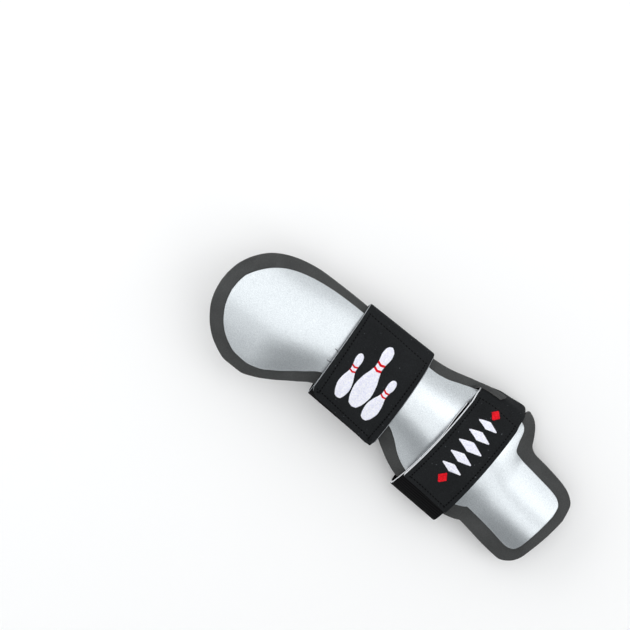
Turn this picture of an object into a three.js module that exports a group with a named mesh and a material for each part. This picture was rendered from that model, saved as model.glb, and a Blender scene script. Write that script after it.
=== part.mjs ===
// Bowling glove of the wrist-positioner kind, for the right hand
import * as THREE from 'three';

// Driving sizes in millimetres. X runs towards the fingers, Y towards the thumb, Z up.
const PAD_LENGTH = 302.4;
const PAD_WIDTH = 113;
const METAL_HEIGHT = 62;
const METAL_THICKNESS = 1.6;
const FOAM_THICKNESS = 3.2;
const STRAP_THICKNESS = 2.4;
const HOOK_THICKNESS = 1.0;
const WRIST_STRAP_WIDTH = 60;
const HAND_STRAP_WIDTH = 40.4;

// Clear space between any two pieces that lie on each other
const GAP = 0.3;

// Where the forearm end and the little-finger edge of the foam lie before the part is centred
const START_X = -66.6;
const START_Y = -67.4;

// Crown line of the metal, as shares: station of PAD_LENGTH, height of METAL_HEIGHT,
// bend radius of PAD_WIDTH, middle of the bend of PAD_WIDTH
const CROWN_COLUMNS = ['station', 'height', 'radius', 'middle'];
const CROWN = [
  [-0.011, 1.000, 0.540, 0.415],
  [0.154, 0.935, 0.540, 0.428],
  [0.313, 0.865, 0.469, 0.535],
  [0.412, 0.827, 0.425, 0.557],
  [0.524, 0.774, 0.460, 0.557],
  [0.693, 0.669, 0.673, 0.548],
  [0.776, 0.623, 0.743, 0.552],
  [0.835, 0.587, 0.549, 0.490],
  [1.001, 0.508, 0.442, 0.459],
];

// Outline seen from above, one row per rib from the forearm end to the fingers.
// Each x is a share of PAD_LENGTH and each y a share of PAD_WIDTH.
const OUTLINE_COLUMNS = [
  'metalThumbX', 'metalThumbY', 'foamThumbX', 'foamThumbY',
  'metalLittleX', 'metalLittleY', 'foamLittleX', 'foamLittleY',
];
const OUTLINE = [
  [0.0348, 0.4554, 0.0013, 0.4551, 0.0348, 0.3937, 0.0014, 0.3933],
  [0.0375, 0.5064, 0.0046, 0.5212, 0.0386, 0.3477, 0.0051, 0.3294],
  [0.0455, 0.5540, 0.0145, 0.5991, 0.0446, 0.2969, 0.0128, 0.2595],
  [0.0681, 0.6400, 0.0427, 0.7121, 0.0649, 0.2048, 0.0397, 0.1430],
  [0.0989, 0.7074, 0.0816, 0.7856, 0.0949, 0.1332, 0.0782, 0.0536],
  [0.1356, 0.7511, 0.1232, 0.8270, 0.1321, 0.0907, 0.1246, 0.0042],
  [0.1751, 0.7778, 0.1683, 0.8490, 0.1629, 0.0859, 0.1654, 0.0045],
  [0.2037, 0.7896, 0.2037, 0.8536, 0.1971, 0.1084, 0.2004, 0.0371],
  [0.2401, 0.7983, 0.2401, 0.8559, 0.2335, 0.1699, 0.2368, 0.0940],
  [0.2864, 0.8026, 0.2864, 0.8568, 0.2798, 0.2685, 0.2831, 0.1841],
  [0.3261, 0.8031, 0.3261, 0.8563, 0.3228, 0.3473, 0.3261, 0.2561],
  [0.4120, 0.8034, 0.4120, 0.8537, 0.4153, 0.3845, 0.4187, 0.2817],
  [0.5179, 0.8022, 0.5179, 0.8698, 0.5179, 0.3551, 0.5146, 0.2496],
  [0.5542, 0.8146, 0.5509, 0.8830, 0.5476, 0.3158, 0.5410, 0.2134],
  [0.5939, 0.8518, 0.5906, 0.9119, 0.5840, 0.2444, 0.5741, 0.1667],
  [0.6187, 0.8770, 0.6177, 0.9350, 0.6138, 0.2051, 0.6088, 0.1299],
  [0.6356, 0.8918, 0.6356, 0.9494, 0.6336, 0.1901, 0.6303, 0.1184],
  [0.6991, 0.9246, 0.6997, 0.9905, 0.6931, 0.1698, 0.6865, 0.1078],
  [0.7543, 0.9243, 0.7599, 0.9989, 0.7394, 0.1998, 0.7394, 0.1144],
  [0.7698, 0.9115, 0.7722, 0.9965, 0.7573, 0.2160, 0.7593, 0.1218],
  [0.7789, 0.9001, 0.8026, 0.9740, 0.7692, 0.2291, 0.7758, 0.1312],
  [0.7867, 0.8702, 0.8174, 0.9376, 0.7808, 0.2436, 0.7890, 0.1419],
  [0.7924, 0.7960, 0.8274, 0.8813, 0.7890, 0.2565, 0.8006, 0.1556],
  [0.8007, 0.7427, 0.8327, 0.8402, 0.7955, 0.2675, 0.8073, 0.1646],
  [0.8225, 0.7247, 0.8505, 0.8111, 0.8386, 0.2578, 0.8435, 0.1521],
  [0.8732, 0.7096, 0.8911, 0.8007, 0.8800, 0.2451, 0.8882, 0.1345],
  [0.9333, 0.6896, 0.9500, 0.7759, 0.9277, 0.2272, 0.9423, 0.1237],
  [0.9535, 0.6721, 0.9742, 0.7514, 0.9477, 0.2422, 0.9667, 0.1573],
  [0.9667, 0.6314, 0.9943, 0.6911, 0.9563, 0.2921, 0.9795, 0.2253],
  [0.9686, 0.5689, 0.9974, 0.5872, 0.9592, 0.3488, 0.9837, 0.3199],
];

// Ribs between two rows, and strips across the metal, the foam and its thumb margin
const RIBS_PER_ROW = 2;
const METAL_STRIPS = 10;
const FOAM_STRIPS = 10;
const MARGIN_STRIPS = 3;
const MARGIN_START = 0.35;

// Rows of the outline where the slit for the hand strap starts and ends,
// and where the foam outside the slit is cut open
const SLIT_FIRST_ROW = 16;
const MOUTH_FIRST_ROW = 17;
const MOUTH_LAST_ROW = 19;
const SLIT_LAST_ROW = 19;
const SLIT_INSET = 0.8;
const TONGUE_START = 0.963;
const TONGUE_END = 1.074;
const TONGUE_GAP = GAP * 1.6;

// Rows before and after the slit over which the foam's inner line moves to the metal edge
const EASE_BEFORE_SLIT = [2, 4];
const EASE_AFTER_SLIT = [1.5, 4];

// Rows between which the metal's thumb edge is read for the hand strap
const THUMB_EDGE_FIRST_ROW = 11;
const THUMB_EDGE_LAST_ROW = 21;

// The two straps. width, tabCorner and settled are millimetres. centre is a share of PAD_LENGTH, the
// pulls are shares of PAD_WIDTH and the heights of METAL_HEIGHT. The other places are shares of
// PAD_WIDTH from START_Y, and highEase is a share of the drop to the side.
// slant, taper, skew and flare are millimetres per millimetre.
const WRIST_LOOP = {
  width: WRIST_STRAP_WIDTH,
  centre: 0.4126,
  slant: 0.0764,
  taper: 0,
  archLow: 0.305,
  archHigh: 0.850,
  sideLow: 0.196,
  sideHigh: 0.868,
  sideLowHeight: 0.42,
  sideHighHeight: 0.42,
  flatLow: 0.36,
  flatHigh: 0.70,
  lowPull: 0.10,
  highPull: 0.020,
  highEase: 0.45,
  tabEnd: 0.222,
  tabCorner: 6,
  skew: -0.07,
  flare: 0.02,
  followsThumbEdge: false,
  hookLow: 0.27,
  hookHigh: 0.64,
  bandEnd: 0.715,
  settled: 18,
};
const HAND_LOOP = {
  width: HAND_STRAP_WIDTH,
  centre: 0.6990,
  slant: -0.0300,
  taper: 0.03,
  archLow: 0.125,
  archHigh: 0.932,
  sideLow: 0.078,
  sideHigh: 0.974,
  sideLowHeight: 0.22,
  sideHighHeight: 0.15,
  flatLow: 0.26,
  flatHigh: 0.81,
  lowPull: 0.04,
  highPull: 0.018,
  highEase: 0.1,
  tabEnd: 0.182,
  tabCorner: 1.5,
  skew: -0.06,
  flare: 0.02,
  followsThumbEdge: true,
  hookLow: 0.22,
  hookHigh: 0.62,
  bandEnd: 0.806,
  settled: 12,
};

// The palm seam, where the under end laps below the upper end, in shares of the flat part
const SEAM_LOW = 0.30;
const SEAM_HIGH = 0.70;
const SEAM_RAMP = 0.24;

// Guide points of the bends beside the arm, as shares of the way between their ends
const BEND_BELOW = 0.6;
const BEND_FOOT = 0.5;
const BEND_ABOVE = 0.55;

// Lines along a strap between its strips, as shares of half its width, shared by the pieces on each other
const INNER_SIDES = [-0.66, -0.33, 0, 0.33, 0.66];

// The hook tape is this share of its strap's width
const HOOK_WIDTH_SHARE = 0.88;

// Lines across a rounded corner of the upper end and its depth, as shares of the corner's radius
const CORNER_LINES = [0.13, 0.45];
const CORNER_DEPTH = 1.1;

// Number of lines along the parts of a strap's path, and the least room between two of them
const RISE_STOPS = 8;
const ARCH_STOPS = 19;
const DROP_STOPS = 10;
const TURN_STOPS = 6;
const TAB_PALM_STOPS = 8;
const BAND_PALM_STOPS = 4;
const STOP_ROOM = 0.02;

// Steps used to read slopes of the metal in millimetres, and slopes and lengths of a path
const SLOPE_STEP = 0.5;
const PATH_STEP = 0.01;
const LENGTH_STEPS = 800;

// Smooth curve through the points (xs, ys) without overshoot
function smoothCurve(xs, ys) {
  const count = xs.length;
  const widths = [];
  const slopes = [];
  for (let i = 0; i < count - 1; i += 1) {
    widths.push(xs[i + 1] - xs[i]);
    slopes.push((ys[i + 1] - ys[i]) / widths[i]);
  }
  const tangents = [slopes[0]];
  for (let i = 1; i < count - 1; i += 1) {
    if (slopes[i - 1] * slopes[i] <= 0) {
      tangents.push(0);
    } else {
      const first = 2 * widths[i] + widths[i - 1];
      const second = widths[i] + 2 * widths[i - 1];
      tangents.push((first + second) / (first / slopes[i - 1] + second / slopes[i]));
    }
  }
  tangents.push(slopes[count - 2]);
  return (x) => {
    let i = 0;
    while (i < count - 2 && x > xs[i + 1]) {
      i += 1;
    }
    const w = widths[i];
    const t = (x - xs[i]) / w;
    if (t < 0) {
      return ys[i] + tangents[i] * w * t;
    }
    if (t > 1) {
      return ys[i + 1] + tangents[i + 1] * w * (t - 1);
    }
    const rise = 3 * t * t - 2 * t * t * t;
    const lead = t * t * t - 2 * t * t + t;
    const tail = t * t * t - t * t;
    return ys[i] * (1 - rise) + ys[i + 1] * rise + w * (tangents[i] * lead + tangents[i + 1] * tail);
  };
}

function mix(a, b, share) {
  return a + (b - a) * share;
}

function smoothStep(from, to, value) {
  const t = Math.min(1, Math.max(0, (value - from) / (to - from)));
  return t * t * (3 - 2 * t);
}

// The crown table in millimetres
const stations = CROWN.map((row) => START_X + row[0] * PAD_LENGTH);
const crownHeight = smoothCurve(stations, CROWN.map((row) => row[1] * METAL_HEIGHT));
const crownRadius = smoothCurve(stations, CROWN.map((row) => row[2] * PAD_WIDTH));
const crownMiddle = smoothCurve(stations, CROWN.map((row) => START_Y + row[3] * PAD_WIDTH));

// Height of the upper face of the metal, carried on past its edges
function metalTop(x, y) {
  const radius = crownRadius(x);
  const aside = y - crownMiddle(x);
  return crownHeight(x) - radius + Math.sqrt(Math.max(radius * radius - aside * aside, 1));
}

function metalNormal(x, y) {
  const slopeX = (metalTop(x + SLOPE_STEP, y) - metalTop(x - SLOPE_STEP, y)) / (2 * SLOPE_STEP);
  const slopeY = (metalTop(x, y + SLOPE_STEP) - metalTop(x, y - SLOPE_STEP)) / (2 * SLOPE_STEP);
  return new THREE.Vector3(-slopeX, -slopeY, 1).normalize();
}

// The outline rows in millimetres, read between the rows by a smooth curve
const rowNumbers = OUTLINE.map((row, index) => index);
const outlineCurves = {};
OUTLINE_COLUMNS.forEach((name, column) => {
  const along = name.endsWith('X');
  const start = along ? START_X : START_Y;
  const size = along ? PAD_LENGTH : PAD_WIDTH;
  outlineCurves[name] = smoothCurve(rowNumbers, OUTLINE.map((row) => start + row[column] * size));
});

function outlinePoint(name, row) {
  return { x: outlineCurves[`${name}X`](row), y: outlineCurves[`${name}Y`](row) };
}

function spreadRows(first, last) {
  const rows = [];
  for (let rib = first * RIBS_PER_ROW; rib <= last * RIBS_PER_ROW; rib += 1) {
    rows.push(rib / RIBS_PER_ROW);
  }
  return rows;
}

// Y of the metal's thumb edge at a station between the wrist and the fingers
const thumbRows = spreadRows(THUMB_EDGE_FIRST_ROW, THUMB_EDGE_LAST_ROW);
const thumbEdge = smoothCurve(
  thumbRows.map((row) => outlinePoint('metalThumb', row).x),
  thumbRows.map((row) => outlinePoint('metalThumb', row).y),
);

// Closed body between an upper and a lower sheet of points, with cells left out where keep says no
function sheetBody(upper, lower, keep) {
  const rows = upper.length;
  const columns = upper[0].length;
  const positions = [];
  const upperIndex = new Map();
  const lowerIndex = new Map();
  const vertex = (table, sheet, i, j) => {
    const key = i * columns + j;
    if (!table.has(key)) {
      const point = sheet[i][j];
      table.set(key, positions.length / 3);
      positions.push(point.x, point.y, point.z);
    }
    return table.get(key);
  };
  const top = (i, j) => vertex(upperIndex, upper, i, j);
  const bottom = (i, j) => vertex(lowerIndex, lower, i, j);
  const kept = (i, j) => i >= 0 && j >= 0 && i < rows - 1 && j < columns - 1 && keep(i, j);
  const faces = [];
  const quad = (a, b, c, d) => {
    faces.push(a, b, c);
    faces.push(a, c, d);
  };
  for (let i = 0; i < rows - 1; i += 1) {
    for (let j = 0; j < columns - 1; j += 1) {
      if (!kept(i, j)) {
        continue;
      }
      quad(top(i, j), top(i + 1, j), top(i + 1, j + 1), top(i, j + 1));
      quad(bottom(i, j), bottom(i, j + 1), bottom(i + 1, j + 1), bottom(i + 1, j));
      if (!kept(i, j - 1)) {
        quad(top(i, j), bottom(i, j), bottom(i + 1, j), top(i + 1, j));
      }
      if (!kept(i, j + 1)) {
        quad(top(i + 1, j + 1), bottom(i + 1, j + 1), bottom(i, j + 1), top(i, j + 1));
      }
      if (!kept(i - 1, j)) {
        quad(top(i, j + 1), bottom(i, j + 1), bottom(i, j), top(i, j));
      }
      if (!kept(i + 1, j)) {
        quad(top(i + 1, j), bottom(i + 1, j), bottom(i + 1, j + 1), top(i + 1, j + 1));
      }
    }
  }
  const geometry = new THREE.BufferGeometry();
  geometry.setAttribute('position', new THREE.Float32BufferAttribute(positions, 3));
  geometry.setIndex(faces);
  if (signedVolume(geometry) < 0) {
    for (let k = 0; k < faces.length; k += 3) {
      const held = faces[k + 1];
      faces[k + 1] = faces[k + 2];
      faces[k + 2] = held;
    }
    geometry.setIndex(faces);
  }
  geometry.computeVertexNormals();
  return geometry;
}

function signedVolume(geometry) {
  const points = geometry.getAttribute('position');
  const index = geometry.getIndex();
  const a = new THREE.Vector3();
  const b = new THREE.Vector3();
  const c = new THREE.Vector3();
  let total = 0;
  for (let k = 0; k < index.count; k += 3) {
    a.fromBufferAttribute(points, index.getX(k));
    b.fromBufferAttribute(points, index.getX(k + 1));
    c.fromBufferAttribute(points, index.getX(k + 2));
    total += a.dot(b.cross(c)) / 6;
  }
  return total;
}

const everyCell = () => true;

// Metal splint: curved sheet between its two edges
function metalGeometry() {
  const upper = [];
  const lower = [];
  const ribs = (OUTLINE.length - 1) * RIBS_PER_ROW;
  for (let i = 0; i <= ribs; i += 1) {
    const row = i / RIBS_PER_ROW;
    const little = outlinePoint('metalLittle', row);
    const thumb = outlinePoint('metalThumb', row);
    const upperRib = [];
    const lowerRib = [];
    for (let j = 0; j <= METAL_STRIPS; j += 1) {
      const x = mix(little.x, thumb.x, j / METAL_STRIPS);
      const y = mix(little.y, thumb.y, j / METAL_STRIPS);
      const point = new THREE.Vector3(x, y, metalTop(x, y));
      upperRib.push(point);
      lowerRib.push(point.clone().addScaledVector(metalNormal(x, y), -METAL_THICKNESS));
    }
    upper.push(upperRib);
    lower.push(lowerRib);
  }
  return sheetBody(upper, lower, everyCell);
}

// The closed path of a strap, read at path parameter u and at a side from -1, the forearm edge, to 1.
// From 0 to 1 it lies over the metal, to 3 down the thumb side, to 4 along the palm, to 6 up again.
function makeLoop(loop) {
  const across = (share) => START_Y + share * PAD_WIDTH;
  const up = (share) => share * METAL_HEIGHT;
  const centre = START_X + loop.centre * PAD_LENGTH;
  const flatHigh = across(loop.flatHigh);
  const flatLow = across(loop.flatLow);
  const plan = (q, side) => {
    const aside = (side * (loop.width - loop.taper * q)) / 2;
    return { x: centre + aside - q * loop.slant, y: q };
  };
  const arch = (q, side) => {
    const at = plan(q, side);
    const normal = metalNormal(at.x, at.y);
    return { q, z: metalTop(at.x, at.y) + GAP / normal.z };
  };
  const bezier = (a, b, c, d, t) => {
    const s = 1 - t;
    const k = [s * s * s, 3 * s * s * t, 3 * s * t * t, t * t * t];
    return {
      q: k[0] * a.q + k[1] * b.q + k[2] * c.q + k[3] * d.q,
      z: k[0] * a.z + k[1] * b.z + k[2] * c.z + k[3] * d.z,
    };
  };
  const spreadAt = (side) => (side * loop.flare * loop.width) / 2;
  const archEnd = (side) => {
    if (!loop.followsThumbEdge) {
      return across(loop.archHigh) + spreadAt(side);
    }
    let q = across(loop.archHigh);
    for (let i = 0; i < 4; i += 1) {
      q = thumbEdge(plan(q, side).x) + SLIT_INSET;
    }
    return q;
  };
  const point = (u, side) => {
    const high = archEnd(side);
    const low = across(loop.archLow) - spreadAt(side);
    const shift = high - across(loop.archHigh);
    const turn = ((u % 6) + 6) % 6;
    if (turn <= 1) {
      return arch(mix(low, high, turn), side);
    }
    if (turn <= 3) {
      const start = arch(high, side);
      const before = arch(high - SLOPE_STEP, side);
      const length = Math.hypot(SLOPE_STEP, start.z - before.z);
      const pull = loop.highPull * PAD_WIDTH;
      const lead = {
        q: start.q + (SLOPE_STEP / length) * pull,
        z: start.z + ((start.z - before.z) / length) * pull,
      };
      const sideQ = across(loop.sideHigh) + shift;
      const sideZ = up(loop.sideHighHeight);
      if (turn <= 2) {
        const above = { q: sideQ, z: mix(sideZ, start.z, loop.highEase) };
        return bezier(start, lead, above, { q: sideQ, z: sideZ }, turn - 1);
      }
      const below = { q: sideQ, z: mix(sideZ, STRAP_THICKNESS, BEND_BELOW) };
      const foot = { q: mix(flatHigh, sideQ, BEND_FOOT), z: STRAP_THICKNESS };
      return bezier({ q: sideQ, z: sideZ }, below, foot, { q: flatHigh, z: STRAP_THICKNESS }, turn - 2);
    }
    if (turn <= 4) {
      return { q: mix(flatHigh, flatLow, turn - 3), z: STRAP_THICKNESS };
    }
    const sideQ = across(loop.sideLow) - spreadAt(side);
    const sideZ = up(loop.sideLowHeight);
    if (turn <= 5) {
      const below = { q: sideQ, z: mix(sideZ, STRAP_THICKNESS, BEND_BELOW) };
      const foot = { q: mix(flatLow, sideQ, BEND_FOOT), z: STRAP_THICKNESS };
      return bezier({ q: flatLow, z: STRAP_THICKNESS }, foot, below, { q: sideQ, z: sideZ }, turn - 4);
    }
    const end = arch(low, side);
    const after = arch(low + SLOPE_STEP, side);
    const length = Math.hypot(SLOPE_STEP, after.z - end.z);
    const pull = loop.lowPull * PAD_WIDTH;
    const lead = {
      q: end.q - (SLOPE_STEP / length) * pull,
      z: end.z - ((after.z - end.z) / length) * pull,
    };
    const above = { q: sideQ, z: mix(sideZ, end.z, BEND_ABOVE) };
    return bezier({ q: sideQ, z: sideZ }, above, lead, end, turn - 5);
  };
  // Point of the path moved by a distance square to it, out of the loop
  const placed = (u, side, distance) => {
    const here = point(u, side);
    const ahead = point(u + PATH_STEP, side);
    const behind = point(u - PATH_STEP, side);
    const dq = ahead.q - behind.q;
    const dz = ahead.z - behind.z;
    const length = Math.hypot(dq, dz);
    const q = here.q - (dz / length) * distance;
    const z = here.z + (dq / length) * distance;
    const at = plan(q, side);
    return new THREE.Vector3(at.x, at.y, z);
  };
  // Path parameter on the upper half where the loop passes a place across
  const atAcross = (share, side) => {
    const wanted = across(share);
    let low = -0.9;
    let high = 1;
    for (let i = 0; i < 30; i += 1) {
      const middle = (low + high) / 2;
      if (point(middle, side).q < wanted) {
        low = middle;
      } else {
        high = middle;
      }
    }
    return (low + high) / 2;
  };
  // Length along the middle line of the loop against the path parameter
  const lengths = [0];
  const steps = LENGTH_STEPS;
  const parameter = (k) => -1 + (8 * k) / steps;
  for (let k = 1; k <= steps; k += 1) {
    const a = point(parameter(k - 1), 0);
    const b = point(parameter(k), 0);
    lengths.push(lengths[k - 1] + Math.hypot(b.q - a.q, b.z - a.z));
  }
  const lengthAt = (u) => {
    const k = Math.min(steps - 1, Math.max(0, Math.floor(((u + 1) * steps) / 8)));
    const share = (u - parameter(k)) / (parameter(k + 1) - parameter(k));
    return mix(lengths[k], lengths[k + 1], share);
  };
  const atLength = (length) => {
    let k = 0;
    while (k < steps - 1 && lengths[k + 1] < length) {
      k += 1;
    }
    return mix(parameter(k), parameter(k + 1), (length - lengths[k]) / (lengths[k + 1] - lengths[k]));
  };
  return { loop, point, placed, atAcross, lengthAt, atLength };
}

const wristLoop = makeLoop(WRIST_LOOP);
const handLoop = makeLoop(HAND_LOOP);
const TAB_LIFT = STRAP_THICKNESS + GAP + HOOK_THICKNESS + GAP;

// How far the upper end stands off the loop line: over the hook tape, then down on the metal,
// then up again where the under end laps below it
function tabOffset(shape, u) {
  const { loop } = shape;
  if (u < 2) {
    const past = shape.lengthAt(u) - shape.lengthAt(shape.atAcross(loop.bandEnd, 0));
    return TAB_LIFT * (1 - smoothStep(GAP, loop.settled, past));
  }
  const seam = smoothStep(3 + SEAM_LOW - SEAM_RAMP, 3 + SEAM_LOW - STOP_ROOM, u);
  return -(STRAP_THICKNESS + GAP) * seam;
}

// Lines along the upper end, closer together where its corners are rounded
function strapSides(loop) {
  const half = loop.width / 2;
  const corner = loop.tabCorner / half;
  const lines = loop.tabCorner > STRAP_THICKNESS ? CORNER_LINES : [];
  const outer = [1, ...lines.map((line) => 1 - corner * line), 1 - corner];
  return [...outer.map((side) => -side), ...INNER_SIDES, ...[...outer].reverse()];
}

function strapBody(shape, stops, sides, offset, thickness) {
  const upper = [];
  const lower = [];
  stops.forEach((stop) => {
    const upperRow = [];
    const lowerRow = [];
    sides.forEach((side) => {
      const u = typeof stop === 'function' ? stop(side) : stop;
      const distance = offset(u);
      upperRow.push(shape.placed(u, side, distance + thickness));
      lowerRow.push(shape.placed(u, side, distance));
    });
    upper.push(upperRow);
    lower.push(lowerRow);
  });
  return sheetBody(upper, lower, everyCell);
}

function spread(from, to, count) {
  return Array.from({ length: count }, (unused, i) => mix(from, to, i / (count - 1)));
}

// Stations along a loop from the little-finger side over the metal, shared by the pieces that lie there
const archStops = [...spread(-1, 0, RISE_STOPS), ...spread(0, 1, ARCH_STOPS).slice(1)];

// Upper end, from the little-finger side over the metal and down the thumb side to the palm
function tabGeometry(shape) {
  const { loop } = shape;
  const first = shape.atAcross(loop.tabEnd, 0);
  const half = loop.width / 2;
  const radius = loop.tabCorner;
  const firstLength = shape.lengthAt(first);
  const startAt = (side) => {
    const depth = half - Math.abs(side) * half;
    const inset = depth < radius ? radius - Math.sqrt(radius * radius - (radius - depth) ** 2) : 0;
    return shape.atLength(firstLength + inset + side * half * loop.skew);
  };
  const cornerAt = (side) => shape.atLength(firstLength + radius * CORNER_DEPTH + side * half * loop.skew);
  const stops = [
    startAt,
    (side) => mix(startAt(side), cornerAt(side), 0.5),
    cornerAt,
    ...archStops.filter((u) => u > cornerAt(-1) + STOP_ROOM),
    ...spread(1, 2, DROP_STOPS).slice(1),
    ...spread(2, 3, TURN_STOPS).slice(1),
    ...spread(3, 3 + SEAM_HIGH, TAB_PALM_STOPS).slice(1),
  ];
  return strapBody(shape, stops, strapSides(loop), (u) => tabOffset(shape, u), STRAP_THICKNESS);
}

// Under end, from the palm up the little-finger side and over the metal
function bandGeometry(shape) {
  const { loop } = shape;
  const end = shape.atAcross(loop.bandEnd, 0);
  const stops = [
    ...spread(3 + SEAM_LOW, 4, BAND_PALM_STOPS),
    ...spread(4, 5, RISE_STOPS).slice(1),
    ...archStops.filter((u) => u > -1 && u < end - STOP_ROOM).map((u) => u + 6),
    6 + end,
  ];
  const sides = [-1, ...INNER_SIDES, 1];
  return strapBody(shape, stops, sides, () => 0, STRAP_THICKNESS);
}

// Hook tape between the two ends, narrower than the strap
function hookGeometry(shape) {
  const { loop } = shape;
  const start = shape.atAcross(loop.hookLow, 0);
  const end = shape.atAcross(loop.hookHigh, 0);
  const stops = [start, ...archStops.filter((u) => u > start + STOP_ROOM && u < end - STOP_ROOM), end];
  const sides = [-HOOK_WIDTH_SHARE, ...INNER_SIDES, HOOK_WIDTH_SHARE];
  const offset = () => STRAP_THICKNESS + GAP;
  return strapBody(shape, stops, sides, offset, HOOK_THICKNESS);
}

// Foam pad: lies under the metal and past its edges. At the thumb side the hand strap comes down
// through a slit, and a tongue of the foam outside the slit lies on the strap.
function foamGeometry() {
  const upper = [];
  const lower = [];
  const ribs = (OUTLINE.length - 1) * RIBS_PER_ROW;
  const under = METAL_THICKNESS + GAP;
  for (let i = 0; i <= ribs; i += 1) {
    const row = i / RIBS_PER_ROW;
    const little = outlinePoint('foamLittle', row);
    const metal = outlinePoint('metalThumb', row);
    const thumb = outlinePoint('foamThumb', row);
    const reach = Math.hypot(metal.x - little.x, metal.y - little.y);
    const slit = 1 - SLIT_INSET / reach;
    const plain = FOAM_STRIPS / (FOAM_STRIPS + MARGIN_STRIPS);
    const rowsBefore = SLIT_FIRST_ROW - row;
    const rowsAfter = row - SLIT_LAST_ROW;
    const nearSlit = (1 - smoothStep(EASE_BEFORE_SLIT[0], EASE_BEFORE_SLIT[1], rowsBefore))
      * (1 - smoothStep(EASE_AFTER_SLIT[0], EASE_AFTER_SLIT[1], rowsAfter));
    const inner = {
      x: mix(mix(little.x, thumb.x, plain), mix(little.x, metal.x, slit), nearSlit),
      y: mix(mix(little.y, thumb.y, plain), mix(little.y, metal.y, slit), nearSlit),
    };
    const raised = smoothStep(SLIT_FIRST_ROW - 1, SLIT_FIRST_ROW, row)
      * (1 - smoothStep(MOUTH_FIRST_ROW, MOUTH_LAST_ROW, row));
    const upperRib = [];
    const lowerRib = [];
    const lay = (x, y) => {
      const normal = metalNormal(x, y);
      const point = new THREE.Vector3(x, y, metalTop(x, y) - under / normal.z);
      return { point, below: point.clone().addScaledVector(normal, -FOAM_THICKNESS) };
    };
    for (let j = 0; j <= FOAM_STRIPS; j += 1) {
      const share = j / FOAM_STRIPS;
      const laid = lay(mix(little.x, inner.x, share), mix(little.y, inner.y, share));
      upperRib.push(laid.point);
      lowerRib.push(laid.below);
    }
    for (let j = 0; j <= MARGIN_STRIPS; j += 1) {
      const share = (j + MARGIN_START) / (MARGIN_STRIPS + MARGIN_START);
      const x = mix(inner.x, thumb.x, share);
      const laid = lay(x, mix(inner.y, thumb.y, share));
      const lift = j > 0 || (row >= SLIT_FIRST_ROW && row <= SLIT_LAST_ROW) ? raised : 0;
      if (lift > 0) {
        const wanted = sideOfStrap(x);
        const side = Math.min(wanted, 1);
        const excess = ((wanted - side) * HAND_LOOP.width) / 2;
        const start = mix(1, TONGUE_START, smoothStep(SLIT_FIRST_ROW, MOUTH_FIRST_ROW, row));
        const u = mix(start, TONGUE_END, j / MARGIN_STRIPS);
        const distance = STRAP_THICKNESS + TONGUE_GAP;
        const rest = handLoop.placed(u, side, distance);
        const outside = handLoop.placed(u, side, distance + FOAM_THICKNESS);
        rest.x += excess;
        outside.x += excess;
        laid.below.lerp(rest, lift);
        laid.point.lerp(outside, lift);
      }
      upperRib.push(laid.point);
      lowerRib.push(laid.below);
    }
    upper.push(upperRib);
    lower.push(lowerRib);
  }
  const slitStart = SLIT_FIRST_ROW * RIBS_PER_ROW - 1;
  const slitEnd = SLIT_LAST_ROW * RIBS_PER_ROW;
  const mouthStart = MOUTH_FIRST_ROW * RIBS_PER_ROW;
  const mouthEnd = MOUTH_LAST_ROW * RIBS_PER_ROW;
  const keep = (i, j) => {
    if (j === FOAM_STRIPS) {
      return i < slitStart || i >= slitEnd;
    }
    if (j > FOAM_STRIPS) {
      return i < mouthStart || i >= mouthEnd;
    }
    return true;
  };
  return sheetBody(upper, lower, keep);
}

// Place across the hand strap of a station at the thumb edge, where 1 is its finger-side edge
function sideOfStrap(x) {
  const centre = START_X + HAND_LOOP.centre * PAD_LENGTH;
  const q = thumbEdge(x);
  const aside = x - centre + q * HAND_LOOP.slant;
  return (2 * aside) / (HAND_LOOP.width - HAND_LOOP.taper * q);
}

function material(colour, roughness, metalness) {
  return new THREE.MeshStandardMaterial({ color: colour, roughness, metalness });
}

const group = new THREE.Group();
group.name = 'bowling_glove';

function add(name, geometry, surface) {
  const mesh = new THREE.Mesh(geometry, surface);
  mesh.name = name;
  group.add(mesh);
}

add('plate', metalGeometry(), material(0xc9d0d6, 0.35, 1.0));
add('foam_pad', foamGeometry(), material(0x4a4b4c, 0.9, 0.0));
add('wrist_strap_tab', tabGeometry(wristLoop), material(0x26282a, 0.85, 0.0));
add('wrist_strap_band', bandGeometry(wristLoop), material(0x17181a, 0.9, 0.0));
add('wrist_hook_pad', hookGeometry(wristLoop), material(0x1d1e20, 0.95, 0.0));
add('hand_strap_tab', tabGeometry(handLoop), material(0x27292b, 0.85, 0.0));
add('hand_strap_band', bandGeometry(handLoop), material(0x16171a, 0.9, 0.0));
add('hand_hook_pad', hookGeometry(handLoop), material(0x1e1f21, 0.95, 0.0));

// The part stands with the middle of its footprint at the origin and its lowest face at zero
const box = new THREE.Box3().setFromObject(group);
const middle = box.getCenter(new THREE.Vector3());
group.children.forEach((mesh) => {
  mesh.geometry.translate(-middle.x, -middle.y, -box.min.z);
});

export default group;
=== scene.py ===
# %% [markdown]
# # Bowling glove of the wrist-positioner kind
# A curved aluminium splint keeps the wrist from bending. A foam pad under it is its cushion, and a wide
# and a narrow laminated strap close it with hook tape.
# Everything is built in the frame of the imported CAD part: +X to the finger end, +Y to the thumb side, +Z up.
# Shapes are worked out in millimetres, and become metres when their mesh is made. The cells go from sizes
# and curves to one routine for sheets and the finishes, and then through the pieces in the order in which
# they are put together: metal, foam, straps, stitches, loose threads, decoration.

# %% Frame and libraries
import math

import bpy
import numpy as np
from mathutils import Matrix, Vector


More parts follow.
